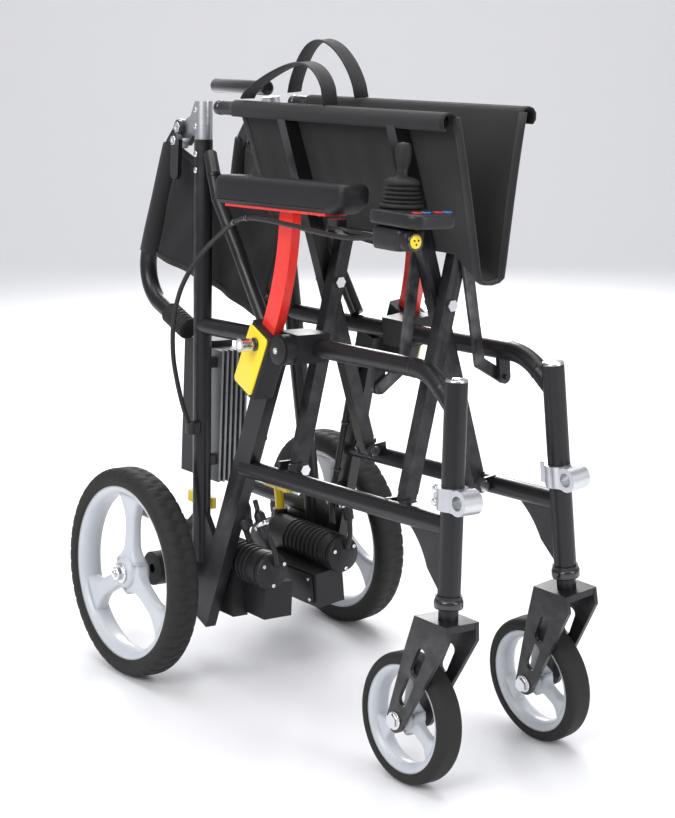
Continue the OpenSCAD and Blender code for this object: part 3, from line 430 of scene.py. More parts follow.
# %% Give every CAD part its finish
BY_SLOT = {"frame_black": FRAME_BLACK, "alloy": ALLOY, "steel": STEEL, "cloth": CLOTH, "webbing": WEBBING,
           "grip": RUBBER, "gloss_black": GLOSS_BLACK, "red_paint": RED, "pad": PAD_SKIN, "housing": HOUSING,
           "tyre": TYRE, "rim": RIM_GREY, "drive": HOUSING, "yellow": YELLOW, "case": CASE_BLACK,
           "boot": RUBBER, "key_red": KEY_RED, "key_blue": KEY_BLUE, "lead": CABLE}
for part in frame["record"]["subparts"]:
    obj = frame["nodes"][part["node"]]
    chosen = FINNED if part["node"] == "controller" else BY_SLOT[part["material_slot"]]
    for k in range(max(1, len(obj.material_slots))):
        if not obj.material_slots:
            obj.data.materials.append(chosen)
        obj.material_slots[k].material = chosen
ROUNDED_EDGES = ("side_frame", "cross_frame", "hinge_bracket", "legrest_clamp", "latch_lever", "arm_socket",
                 "arm_tube", "caster_fork", "drive_motor", "controller", "battery_pack", "link_", "freewheel")
for name, obj in frame["nodes"].items():
    if name.startswith(ROUNDED_EDGES):
        soften = obj.modifiers.new("soft edges", "BEVEL")
        soften.width = 0.0008
        soften.segments = 2
        soften.limit_method = "ANGLE"
        soften.angle_limit = math.radians(50)

# %% [markdown]
# ## Rear tyres
# The rear tyres have a block tread. Turning a profile gives the carcass, and pressing narrow grooves
# into the crown of that same mesh gives the blocks, so the tread moves light as a real moulding does.

# %% Tyre with grooves between tread blocks
def tyre_profile(r, h, width, corner):
    half = width / 2
    out = [(r - h, -half + 4), (r - h + 3, -half + 0.6), (r - h * 0.55, -half), (r - corner, -half + 0.3)]
    out += [(r - corner + corner * math.sin(a), -half + corner - corner * math.cos(a))
            for a in (0.35, 0.7, 1.05, 1.35)]
    out += [(r, -half + corner), (r, -half + corner + 4.5), (r, -1.2), (r, 1.2)]
    half_turn = [(a, -b) for a, b in reversed(out[:-2])]
    return out + half_turn


def treaded_tyre(side, label):
    sides = 288
    profile = tyre_profile(135, 23, 40, 11)
    points, faces = lathe(profile, (WHEEL_U, WHEEL_Y, WHEEL_W), (1, 0, 0), lambda *p: Vector(p), sides,
                          closed=True)
    crown = [i for i, (r, h) in enumerate(profile) if r > 127]
    hub = Vector((WHEEL_U, WHEEL_Y, WHEEL_W))
    for i in crown:
        across_tread = profile[i][1]
        for k in range(sides):
            stagger = 3 if across_tread > 0 else 0
            groove = (k + stagger) % 6 == 0 and abs(across_tread) > 1.0
            middle = abs(across_tread) < 1.5 and (k // 3) % 2 == 0
            if groove or middle:
                p = points[i * sides + k]
                out = p - hub
                out.x = 0
                points[i * sides + k] = p - out.normalized() * (2.0 if groove else 1.0)
    tyre = piece(f"rear_tyre_tread_{label}", [at(side, *p) for p in points], faces, TYRE, f"wheel_{label}")
    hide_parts(f"rear_tyre_{label}")
    return tyre


def hub_height(r, width, corner):
    return (r - corner) * math.cos(CAMBER) + (width / 2 - corner) * math.sin(CAMBER) + corner


WHEEL_U, WHEEL_Y, CASTER_TRAIL = 70, 558, 58
WHEEL_W = (hub_height(135, 40, 11) - WHEEL_U * math.sin(CAMBER)) / math.cos(CAMBER)
CASTER_W = hub_height(75, 32, 9) / math.cos(CAMBER)
for side, label in SIDES:
    treaded_tyre(side, label)
print("rear hubs stand", round(WHEEL_W, 1), "mm up their frames")

# %% [markdown]
# ## Spoked wheel centres
# Both wheel sizes are castings with three broad spokes that flare where they meet the rim. A loft from
# hub to rim with a width that swells at both ends gives that flare, and a turned ring gives the rim.

# %% Cast wheel centre
def cast_centre(side, label, centre, rim_r, width, hub_r, waist, name, body):
    put = placed(side)
    half = width / 2
    lip = [(rim_r, -half), (rim_r - 3, -half + 0.5), (rim_r - 8, -half + 3), (rim_r - 11, -half * 0.35),
           (rim_r - 11, half * 0.35), (rim_r - 8, half - 3), (rim_r - 3, half - 0.5), (rim_r, half)]
    points, faces = lathe(lip, centre, (1, 0, 0), put, 96, closed=True)
    boss = [(hub_r * 0.55, -half * 0.95), (hub_r * 0.9, -half * 0.9), (hub_r, -half * 0.7), (hub_r * 1.15, 0),
            (hub_r, half * 0.7), (hub_r * 0.9, half * 0.9), (hub_r * 0.55, half * 0.95)]
    more, walls = lathe(boss, centre, (1, 0, 0), put, 48)
    faces += [tuple(v + len(points) for v in f) for f in walls]
    points += more
    for turn in (0, 120, 240):
        a = math.radians(90 + turn)
        out, flank = Vector((0, math.cos(a), math.sin(a))), Vector((0, -math.sin(a), math.cos(a)))
        sections = []
        for k in range(13):
            t = k / 12
            reach = hub_r * 0.7 + (rim_r - 9 - hub_r * 0.7) * t
            wide = waist * (1 + 1.5 * max(0, 1 - t * 4) ** 2 + 2.1 * max(0, t - 0.55) ** 2 * 4)
            thick = half * (0.62 - 0.2 * math.sin(math.pi * t))
            sections.append([Vector(centre) + out * reach + flank * x + Vector((1, 0, 0)) * y
                             for x, y in soft_box(2 * wide, 2 * thick, min(wide, thick) * 0.6)])
        more, walls = loft(sections, put)
        faces += [tuple(v + len(points) for v in f) for f in walls]
        points += more
    return piece(name, points, faces, RIM_GREY, body)


for side, label in SIDES:
    rear = cast_centre(side, label, (WHEEL_U, WHEEL_Y, WHEEL_W), 112.4, 33, 20, 10.5,
                       f"rear_centre_{label}", f"wheel_{label}")
    caster = cast_centre(side, label, (0, post_y(CASTER_W) + CASTER_TRAIL, CASTER_W), 62.3, 27, 13, 7.5,
                         f"caster_centre_{label}", f"caster_{label}")
    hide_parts(f"rear_rim_{label}")
    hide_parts(f"caster_rim_{label}")
print("cast centres on four wheels")


# %% Axle nuts, washers and studs
def hex_nut(name, centre, axis, r, h, side, body, material=STEEL, hole=True):
    first, second, along = axis_frame(axis)
    put = placed(side)
    outer = [(r * 0.9, 0.0), (r, 0.12 * h), (r, 0.88 * h), (r * 0.9, h)]
    if hole:
        outer += [(r * 0.45, h), (r * 0.42, h * 0.6)]
    points, faces = lathe(outer, centre, axis, put, 6)
    return piece(name, points, faces, material, body, smooth=False, bevel=0.0004)


def disc(name, centre, axis, r, h, side, body, material, dome=0.0):
    profile = [(r * 0.2, 0), (r - 0.4, 0), (r, 0.4), (r, h - 0.4), (r - 0.5, h), (r * 0.55, h + dome * 0.8),
               (0.3, h + dome)]
    points, faces = lathe(profile, centre, axis, placed(side), 40)
    return piece(name, points, faces, material, body)


for side, label in SIDES:
    disc(f"rear_washer_{label}", (86, WHEEL_Y, WHEEL_W), (1, 0, 0), 13, 2.5, side, f"wheel_{label}", STEEL)
    hex_nut(f"rear_nut_{label}", (88, WHEEL_Y, WHEEL_W), (1, 0, 0), 9.5, 8, side, f"wheel_{label}")
    disc(f"rear_stud_{label}", (94, WHEEL_Y, WHEEL_W), (1, 0, 0), 4.5, 5, side, f"wheel_{label}", STEEL,
         0.6)
    axle_y = post_y(CASTER_W) + CASTER_TRAIL
    for end, u in (("out", 23.6), ("in", -25.6)):
        disc(f"caster_washer_{end}_{label}", (u, axle_y, CASTER_W), (1, 0, 0), 10.5, 2, side,
             f"fork_{label}", STEEL)
print("wheel hardware fitted")

# %% [markdown]
# ## Seat cloth
# The seat is one piece of nylon held along both seat rails. Folded, it hangs between the scissor arms in
# a V, and it can only drop below them in front, where no arm is in the way. A grid whose cross section
# wraps each rail and hangs to a changing depth gives that, and shallow ripples make it cloth.

# %% Build the seat cloth
RAIL_X, RAIL_Z = 55.6, 730
SEAT_FRONT, SEAT_LEN = 48, 402


def rail_height(y):
    return RAIL_Z - (y - 274) * math.tan(math.radians(1.1))


def seat_section(y, ripple):
    """Half of the cross section, from under the outside of a rail to the bottom of the V."""
    open_front = max(0.0, 1 - abs(y - SEAT_FRONT) / 52)
    low = 584 - 26 * open_front ** 0.7 - 6 * math.exp(-((y - 235) / 60) ** 2)
    belly = 5 + 11 * open_front
    rail_z = rail_height(y)
    wrap = (-1.0, -0.4, 0.3, 0.9, 1.5, 2.1, 2.6)
    out = [(RAIL_X + 10.0 * math.cos(a), rail_z + 10.0 * math.sin(a)) for a in wrap]
    start = (45.5, rail_z - 3)
    for k in range(1, 15):
        t = k / 15
        hang = t ** 0.94
        out.append((start[0] + (belly + 1 - start[0]) * hang + ripple * math.sin(math.pi * t) * (1 - 0.5 * t),
                    start[1] + (low + 9 - start[1]) * t))
    out += [(belly, low + 5), (belly * 0.62, low + 1.2), (0, low)]
    return out


def folded_sheet(rows, name, material, body=None, thickness=0.0016):
    points = [p for row in rows for p in row]
    count = len(rows[0])
    faces = [(i * count + k, i * count + k + 1, (i + 1) * count + k + 1, (i + 1) * count + k)
             for i in range(len(rows) - 1) for k in range(count - 1)]
    return piece(name, points, faces, material, body, thickness=thickness)


def grid_size(rows):
    """Mean width and length of a sheet's grid, in metres."""
    wide = sum(sum((b - a).length for a, b in zip(row, row[1:])) for row in rows) / len(rows)
    columns = list(zip(*rows))
    long = sum(sum((b - a).length for a, b in zip(col, col[1:])) for col in columns) / len(columns)
    return wide, long


seat_rows = []
for i in range(57):
    y = SEAT_FRONT + SEAT_LEN * i / 56
    halves = []
    for sign in (-1, 1):
        ripple = 1.1 * math.sin(y * 0.045 + sign) + 0.8 * math.sin(y * 0.11 + 2 * sign)
        halves.append([(sign * x, z) for x, z in seat_section(y, -abs(ripple))])
    line = halves[0] + halves[1][-2::-1]
    seat_rows.append([across(1, x, y, z) for x, z in line])
seat = folded_sheet(seat_rows, "seat_cloth", CLOTH)
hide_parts("seat_sling")
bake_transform(seat)

# %% Bound edges and rail sleeves' end caps
for edge_name, row in (("front", seat_rows[0]), ("rear", seat_rows[-1])):
    route = [Vector(p) for p in row[6:-6]]
    pts, faces = sweep(route, soft_box(0.011, 0.0036, 0.0015, 2), lambda *p: Vector(p), way=(0, 1, 0))
    binding = piece(f"seat_binding_{edge_name}", pts, faces, WEBBING)
    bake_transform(binding)
for sign, label, body in ((-1, "right", "cross_b"), (1, "left", "cross_a")):
    for end, y, way in (("front", 64, -1), ("rear", 484, 1)):
        z = rail_height(y)
        pts, faces = lathe([(2, -6), (8.7, -6), (9.0, 0), (8.9, 3), (7.6, 4.8), (3, 5.4)], (RAIL_X, y, z),
                           (0, way, 0),
                           placed(sign, across), 40)
        piece(f"rail_cap_{end}_{label}", pts, faces, GLOSS_BLACK, body)
print("bound edges and rail caps")


# %% [markdown]
# ## Carry straps
# Each seat rail has a webbing loop for lifting the folded chair. Webbing keeps its width and bends only
# one way, so a flat section swept along an arch that leans a little is nearly the whole job. A line of
# stitches runs along each edge.

# %% Build the straps
def carry_strap(sign, label, body, y0, span, rise, skew):
    route = []
    for k in range(41):
        t = k / 40
        lift = rise * (math.sin(math.pi * t ** skew) ** 0.72)
        sway = 7 * math.sin(math.pi * t) * math.sin(2.2 * t + 0.4)
        route.append(Vector((RAIL_X - 6 - sway, y0 + span * t, RAIL_Z + 9.6 + lift)))
    pts, faces = sweep(route, soft_box(21, 1.9, 0.8, 2), placed(sign, across), way=(1, 0, 0))
    strap = piece(f"strap_{label}", pts, faces, WEBBING, body)
    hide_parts(f"carry_strap_{label}")
    for edge in (-8.2, 8.2):
        line = [p + Vector((edge, 0, 1.15)) for p in route[1:-1]]
        pts, faces = sweep(line, soft_box(1.1, 0.5, 0.2, 2), placed(sign, across), way=(1, 0, 0))
        piece(f"strap_seam_{label}_{'in' if edge < 0 else 'out'}", pts, faces, THREAD, body)


carry_strap(-1, "right", "cross_b", 266, 168, 46, 0.62)
carry_strap(1, "left", "cross_a", 338, 138, 66, 0.9)
print("two carry straps")

# %% [markdown]
# ## Back cloth
# The back folds with its canes: each half hangs from a sleeve round its cane and lies forward and
# inward. The sleeve is a turned tube on the cane, and the panel is a sheet with soft vertical folds.

# %% Build the back halves
PANEL_TURN = math.radians(180 - 73.9)
for side, label in SIDES:
    rows = []
    for i in range(31):
        down = 33 + 146 * i / 30
        row = []
        for k in range(41):
            t = k / 40
            reach = 13.2 + 187 * t
            wave = 5.5 * math.sin(8.5 * t + 0.02 * down) * t + 2.2 * math.sin(21 * t + 0.05 * down)
            sag = 7 * t * (1 - t) * math.sin(math.pi * i / 30)
            x = reach * math.cos(PANEL_TURN) - (wave + sag) * math.sin(PANEL_TURN) * 0.8
            y = reach * math.sin(PANEL_TURN) + (wave + sag) * math.cos(PANEL_TURN) * 0.8 - 14.4
            row.append(on_cane(side, x, y, down + 4 * math.sin(3 * t) * (1 - i / 15)))
        rows.append(row)
    panel = folded_sheet(rows, f"back_cloth_{label}", CLOTH, f"panel_{label}")
    wide, long = grid_size(rows)
    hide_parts(f"back_panel_{label}")
    sleeve = [(11.5, 30), (12.9, 31), (13.1, 60), (12.8, 105), (13.2, 150), (12.9, 180), (11.5, 181)]
    pts, faces = lathe(sleeve, (0, -14.4, 0), (0, 0, 1), placed(side, on_cane), 48)
    piece(f"back_sleeve_{label}", pts, faces, CLOTH, f"cane_{label}")
    for edge_name, row in (("top", rows[0]), ("bottom", rows[-1])):
        pts, faces = sweep(row, soft_box(0.0032, 0.009, 0.0012, 2), lambda *p: Vector(p), way=(0.2, 0.9, 0.4))
        piece(f"back_hem_{edge_name}_{label}", pts, faces, WEBBING, f"panel_{label}")
print("back cloth halves are", round(wide, 3), "by", round(long, 3), "m")

# %% Push grips
for side, label in SIDES:
    profile = [(10.5, -1), (13.4, -1), (14.4, 1), (14.4, 3), (13.2, 4.5)]
    for k in range(5):
        z = 6 + 7 * k
        profile += [(13.1, z), (14.3, z + 1.2), (14.5, z + 3), (14.3, z + 4.8), (13.1, z + 6)]
    profile += [(13.3, 42), (14.3, 43.2), (14.2, 45), (12.6, 46.4), (5, 46.8)]
    start = (0, 52 - 14.4 + 26, 26.8 + 152 + 52)
    pts, faces = lathe(profile, start, (0, 1, 0), placed(side, on_cane), 48)
    grip = piece(f"ribbed_grip_{label}", pts, faces, RUBBER, f"cane_{label}")
    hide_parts(f"push_grip_{label}")
print("ribbed push grips")

# %% [markdown]
# ## Arm pads
# An arm pad is moulded foam with a thick skin: flat under, crowned on top, its front end cut back
# underneath. Lofted round sections with a swelling top give the form, and a subdivision smooths it.

# %% Build the arm pads
PAD_U, PAD_REAR, PAD_LEN, PAD_W, PAD_T = 41, 411, 257, 42, 33.5
PAD_TILT = math.radians(2)
for side, label in SIDES:
    sections = []
    for k in range(25):
        t = k / 24
        back = min(1.0, (t * PAD_LEN) / 9)
        front = min(1.0, ((1 - t) * PAD_LEN) / 7)
        round_end = 0.35 + 0.65 * math.sqrt(back * (2 - back))
        round_end *= 0.55 + 0.45 * math.sqrt(front * (2 - front))
        y = PAD_REAR - PAD_LEN * t
        rise = math.tan(PAD_TILT) * PAD_LEN * t
        cut = max(0.0, (t - 0.93) / 0.07) ** 0.8 * 12
        top, low = 620.4 + rise + PAD_T, 620.4 + rise + cut
        wide = PAD_W * (0.86 + 0.14 * round_end)
        mid, tall = (top + low) / 2, (top - low) * (0.9 + 0.1 * round_end)
        section = []
        for x, z in soft_box(wide, tall, min(8.5, tall * 0.42), 5):
            crown = 1.6 * (1 - (2 * x / wide) ** 2) if z > 0 else 0
            section.append((PAD_U + x, y, mid + z + crown - 1.2))
        sections.append(section)
    pts, faces = loft(sections, placed(side))
    pad = piece(f"arm_pad_skin_{label}", pts, faces, PAD_SKIN, f"arm_{label}", rounds=1)
    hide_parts(f"arm_pad_{label}")
    for edge, x in (("in", -20.9), ("out", 20.9)):
        line = []
        for k in range(32):
            forward = 6 + 7 * k
            line.append(Vector((PAD_U + x, PAD_REAR - forward, 624.6 + math.tan(PAD_TILT) * forward)))
        pts, faces = sweep(line, ring(0.55, 8), placed(side))
        piece(f"pad_parting_{edge}_{label}", pts, faces, PAD_SKIN, f"arm_{label}")
    for k, y in enumerate((232, 372)):
        w = 617 + (410 - y) * math.tan(PAD_TILT)
        disc(f"pad_screw_{k}_{label}", (PAD_U - 8, y, w), (0, 0, -1), 3.6, 2.2, side, f"arm_{label}", STEEL,
             0.6)
print("arm pads, parting lines and screws")

# %% [markdown]
# ## Armrest sockets
# Each socket carries a yellow plate on its outer face, and a pull knob of clear plastic on a steel
# shaft frees the armrest. A red tube's decal is left off: the tube stays plain enamel.

# %% Yellow plates, cover discs and pull knobs
LEAN = math.radians(24)
ARM_U, ARM_CURVE_R, ARM_TOP_Y, ARM_TOP_W = 34, 350, 288, 617
ARM_FOOT_Y = ARM_TOP_Y + ARM_CURVE_R * (1 - math.cos(LEAN))
ARM_FOOT_W = ARM_TOP_W - ARM_CURVE_R * math.sin(LEAN)
RAIL_FRONT_W, RAIL_BEND_Y, RAIL_FALL = 468.7, 89.7, 1.93


def in_socket(side, u, y, w):
    """A place by the armrest socket: w up out of it along the tube."""
    return at(side, ARM_U + u, ARM_FOOT_Y + y * math.cos(LEAN) - w * math.sin(LEAN),
              ARM_FOOT_W + y * math.sin(LEAN) + w * math.cos(LEAN))


for side, label in SIDES:
    put = placed(side, in_socket)
    face = soft_box(39, 78, 5, 5)
    rings = [[(u, a * s, b * s - 36) for a, b in face] for u, s in ((16.0, 1.0), (17.9, 1.0), (18.4, 0.97))]
    pts, faces = loft(rings, put)
    piece(f"yellow_plate_{label}", pts, faces, YELLOW, f"side_{label}")
    cap_y = ARM_FOOT_Y - 34
    cap_w = RAIL_FRONT_W - (cap_y - RAIL_BEND_Y) * math.tan(math.radians(RAIL_FALL)) - 2
    disc(f"socket_cover_{label}", (ARM_U + 12, cap_y, cap_w), (1, 0, 0), 16.5, 3, side, f"side_{label}",
         HOUSING, 1.2)
    hex_nut(f"socket_bolt_{label}", (ARM_U + 15, cap_y, cap_w), (1, 0, 0), 4.2, 2.6, side, f"side_{label}")
    knob = [(4, 26)]
    for k in range(6):
        z = 27 + 2 * k
        knob += [(7.4, z), (7.9, z + 0.7), (7.4, z + 1.4)]
    knob += [(7.2, 39), (5, 40), (1, 40.4)]
    pts, faces = lathe(knob, (0, 0, -14), (1, 0, 0), put, 40)
    piece(f"pull_knob_{label}", pts, faces, CLEAR, f"plunger_{label}")
    pts, faces = lathe([(4.4, 15.5), (7.8, 15.5), (8.2, 16.4), (8.2, 19.6), (7.4, 21), (4.4, 21.2)],
                       (0, 0, -14), (1, 0, 0), put, 40)
    piece(f"plunger_collar_{label}", pts, faces, GLOSS_BLACK, f"side_{label}")
print("sockets dressed")

# %% [markdown]
# ## Post caps, clamp bolts and hinge screws
# Bright plugs close the front posts, a socket screw closes each leg rest clamp, and screws hold the
# hinge bracket and the rear post sleeve. They are small, but the eye finds them at once.

# %% Small hardware on the side frames
for side, label in SIDES:
    body = f"side_{label}"
    rake = (0, math.sin(POST_RAKE), math.cos(POST_RAKE))
    plug = [(3, -3), (12.3, -3), (12.6, -0.4), (12.6, 1.4), (11.6, 2.6), (7, 3.5), (0.5, 3.8)]
    pts, faces = lathe(plug, (0, post_y(POST_TOP_W), POST_TOP_W), rake, placed(side), 48)
    piece(f"post_plug_{label}", pts, faces, STEEL, body)
    collar = [(11.5, 0), (15.6, 0), (16.2, 1.5), (16.2, 8), (15.4, 10), (13, 10.4)]
    pts, faces = lathe(collar, (0, post_y(217), 217), rake, placed(side), 48)
    piece(f"stem_collar_{label}", pts, faces, GLOSS_BLACK, body)
    for k, w in enumerate((331, 345)):
        disc(f"clamp_screw_{k}_{label}", (7.2, post_y(CLAMP_W) + 19, w), (1, 0, 0), 4, 3.4, side, body,
             STEEL, 0.3)
    for k, w in enumerate((648, 668)):
        disc(f"post_screw_{k}_{label}", (11.2, rear_y(w), w), (1, 0, 0), 3.8, 1.6, side, body, STEEL,
             0.8)
    for k, (y, w) in enumerate(((rear_y(700) + 2, 702), (rear_y(720) + 2, 722))):
        disc(f"bracket_screw_{k}_{label}", (10.9, y, w), (1, 0, 0), 3.4, 1.4, side, body, STEEL, 0.6)
    hex_nut(f"lever_bolt_{label}", (17.9, 566, 682), (1, 0, 0), 6.2, 3.6, side, body)
    hex_nut(f"cane_bolt_{label}", (8.9, HINGE_Y, HINGE_W), (1, 0, 0), 7.2, 2.6, side, f"cane_{label}")
print("hardware on both side frames")

# %% Cap on the far seat rail's tail
tail = [(6.8, 3), (9, 3), (9.2, 4), (9.2, 120), (8.8, 121), (7.2, 121), (6.9, 119), (6.9, 40), (1, 39)]
pts, faces = lathe(tail, (30, 503, 744), (0, 0.9986, -0.0192), placed(1, across), 48)
piece("rear_cross_sleeve", pts, faces, GLOSS_BLACK, "cross_a")
print("sleeve with an open mouth at the rear")

# %% [markdown]
# ## Joystick
# The control has a waisted knob over a ribbed rubber boot, on a shell with rounded sides and a row of
# keys. Everything round is turned, and the shell is lofted so its sides swell between two flat faces.

# %% Boot and knob
CASE_U, STICK_Y, CASE_TOP = 42, 77, 645
boot = [(23.4, 0.2), (24, 1), (24, 3.4), (22.8, 4.6)]
for k in range(4):
    w, r = 5 + 4.6 * k, 21.6 - 1.0 * k
    boot += [(r - 4.2, w), (r - 0.4, w + 1.1), (r, w + 2.1), (r - 0.4, w + 3.1), (r - 4.2, w + 4.2)]
boot += [(17, 24), (18.6, 25.4), (18.8, 27), (17.6, 29.4), (13.5, 31.4), (9, 32.4), (6.2, 33.2), (5.4, 35)]
pts, faces = lathe(boot, (CASE_U, STICK_Y, CASE_TOP), (0, 0, 1), placed(RIGHT), 56)
bellows = piece("joystick_bellows", pts, faces, RUBBER)
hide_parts("joystick_boot")
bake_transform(bellows)
knob = [(5.2, 28), (5.6, 33), (5.4, 38), (6.2, 42), (7.6, 47), (8.4, 53), (8.7, 59), (8.3, 64), (6.8, 67),
        (4.2, 68.2), (0.6, 68.5)]
pts, faces = lathe(knob, (CASE_U, STICK_Y, CASE_TOP), (0, 0, 1), placed(RIGHT), 48)
grip = piece("joystick_knob", pts, faces, RUBBER, "stick")
print("boot with four bellows and a waisted knob")

# %% Shell, keys and charging socket
sections = []
for k in range(9):
    t = k / 8
    swell = 1.0 - 0.055 * (2 * t - 1) ** 4 - (0.035 if k in (0, 8) else 0)
    w = 627.1 + 17.7 * t
    sections.append([(CASE_U + x, 57 + y, w) for x, y in soft_box(64 * swell, 86 * swell, 17 * swell, 7)])
pts, faces = loft(sections, placed(RIGHT))
shell = piece("joystick_shell", pts, faces, CASE_BLACK, "arm_right", rounds=1)
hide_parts("joystick_case")
lower = []
for w, s, dy in ((601.5, 0.86, 2), (603, 0.95, 1), (612, 1.0, 0), (622, 1.04, 0), (627.6, 1.06, -1)):
    lower.append([(52 + x * s, 67 + y * s + dy, w) for x, y in soft_box(36, 50, 8, 6)])
pts, faces = loft(lower, placed(RIGHT))
piece("joystick_underbody", pts, faces, CASE_BLACK, "arm_right", rounds=1)
nose = []
for y, s in ((45, 0.9), (42.6, 1.0), (36, 1.0), (34, 0.93)):
    nose.append([(56 + a * s, y, 614.5 + b * s) for a, b in soft_box(25, 22, 7, 5)])
pts, faces = loft(nose, placed(RIGHT))
piece("joystick_front_boss", pts, faces, CASE_BLACK, "arm_right")
bar = [[(44 + a, y, 611 + b + rise) for a, b in soft_box(15, 8, 1.2, 3)]
       for y, rise in ((84, 0), (150, 0.3), (194, 0.5))]
pts, faces = loft(bar, placed(RIGHT))
piece("joystick_bar", pts, faces, GLOSS_BLACK, "arm_right")
post = [[(44 + a, 185 + b, w) for a, b in soft_box(15, 18, 2, 3)] for w in (607, 622)]
pts, faces = loft(post, placed(RIGHT))
piece("joystick_bar_clamp", pts, faces, GLOSS_BLACK, "arm_right", smooth=False)
KEY_Y = 25
KEYS = (("horn", 62, KEY_RED), ("power", 51, KEY_BLUE), ("slower", 34, KEY_RED), ("faster", 23, KEY_BLUE))
for name, u, colour in KEYS:
    outline = [[(u + x * s, KEY_Y + y * s, CASE_TOP + w) for x, y in soft_box(10.6, 7.6, 1.6, 3)]
               for w, s in ((-0.2, 1), (0.35, 1), (0.5, 0.93))]
    pts, faces = loft(outline, placed(RIGHT))
    piece(f"key_rim_{name}", pts, faces, colour, "arm_right")
    top = [[(u + x * s, KEY_Y + y * s, CASE_TOP + w) for x, y in soft_box(8.6, 5.8, 1.4, 3)]
           for w, s in ((0.3, 1), (1.2, 1), (1.5, 0.85))]
    pts, faces = loft(top, placed(RIGHT))
    piece(f"key_cap_{name}", pts, faces, GLOSS_BLACK, f"{name}_key")
socket_face = [(2, 0), (9.4, 0), (9.8, 0.8), (9.8, 2.2), (9.0, 3), (7.6, 3), (7.2, 1.4), (1, 1.2)]
pts, faces = lathe(socket_face, (56, 35, 614), (0, -1, 0), placed(RIGHT), 40)
piece("charge_socket_rim", pts, faces, GLOSS_BLACK, "arm_right")
pts, faces = lathe([(1, 0), (7.2, 0), (7.4, 0.6), (7.4, 2.4), (6.6, 3.2), (1, 3.4)], (56, 34.4, 614),
                   (0, -1, 0), placed(RIGHT), 40)
piece("charge_socket", pts, faces, YELLOW, "arm_right")
# Three flat dark discs on the socket face are painted shade that stands for its pin holes.
for k, (du, dw) in enumerate(((-2.6, 1.4), (2.6, 1.4), (0, -2.8))):
    disc(f"charge_hole_shade_{k}", (56 + du, 31.2, 614 + dw), (0, -1, 0), 1.1, 0.5, RIGHT, "arm_right", PAINTED_HOLE_SHADE)
print("keys and charging socket")

# %% [markdown]
# ## Cables
# The joystick's lead is held at both ends, so its route is the frame's own list of points on one smooth
# curve. It is one still piece on no body, so it does not bend when the armrest lifts away from the chair.

# %% Lead and wiring
LEAD_ROUTE = [(57, 93.4, 613), (57, 112, 610), (58, 150, 606), (60, 200, 607), (60, 250, 609), (60, 300, 610),
              (58, 340, 608), (54, 372, 600), (50, 404, 584), (47, 440, 562), (46, 474, 534), (46, 500, 500),
              (45, 514, 460), (42, 518, 420), (36, 516, 384), (28, 512, 350), (20, 508, 326)]
pts, faces = sweep(smooth_route(LEAD_ROUTE, 6), ring(3.0, 14), placed(RIGHT))
lead = piece("joystick_cable", pts, faces, CABLE)
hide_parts("joystick_lead")
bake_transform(lead)
for name, k in (("front", 6), ("rear", 7)):
    u, y, w = LEAD_ROUTE[k]
    pts, faces = lathe([(3.1, -2.4), (4.0, -2.2), (4.2, 0), (4.0, 2.2), (3.1, 2.4)], (u, y, w),
                       (0, 1, -0.25), placed(RIGHT), 24)
    piece(f"lead_tie_{name}", pts, faces, GLOSS_BLACK, "arm_right")
for side, label in SIDES:
    down = [(-12.5, strut_y(420), 420), (-16.1, strut_y(330), 330), (-16.1, strut_y(265), 265),
            (-16.1, strut_y(225), 225), (-24, strut_y(205) - 14, 188)]
    pts, faces = sweep(smooth_route(down, 8), ring(4.0, 14), placed(side))
    loom = piece(f"motor_cable_{label}", pts, faces, CABLE, f"side_{label}")
    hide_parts(f"wiring_{label}")
    for k, w in enumerate((400, 330, 262)):
        y = strut_y(w)
        pts, faces = lathe([(4.1, -2), (5.0, -1.8), (5.2, 0), (5.0, 1.8), (4.1, 2)],
                           (-15.6 if w < 350 else -13.2, y, w), (0, -0.37, 1), placed(side), 24)
        piece(f"loom_tie_{k}_{label}", pts, faces, GLOSS_BLACK, f"side_{label}")
    plug = [(4.2, -8), (7, -7), (8.6, 0), (8.6, 16), (9.6, 17), (9.6, 23), (7, 24), (4.2, 30)]
    pts, faces = lathe(plug, (-16, strut_y(232), 232), (0.25, -0.55, -0.8), placed(side), 28)
    piece(f"motor_plug_{label}", pts, faces, CASE_BLACK, f"side_{label}")
clip = [[(x + 17, y + 506, w) for x, y in soft_box(16, 16, 4, 3)] for w in (318, 319, 331, 332)]
pts, faces = loft(clip, placed(RIGHT))
piece("lead_clip", pts, faces, CASE_BLACK, "side_right")
print("lead, two motor cables and their ties")

# %% [markdown]
# ## Drive details
# The drive is a motor lying along the frame with a gearbox behind it. Cooling ribs, a bolted end bell, a
# cover plate and a short loop of cable with two plugs turn its plain solids into a machine.

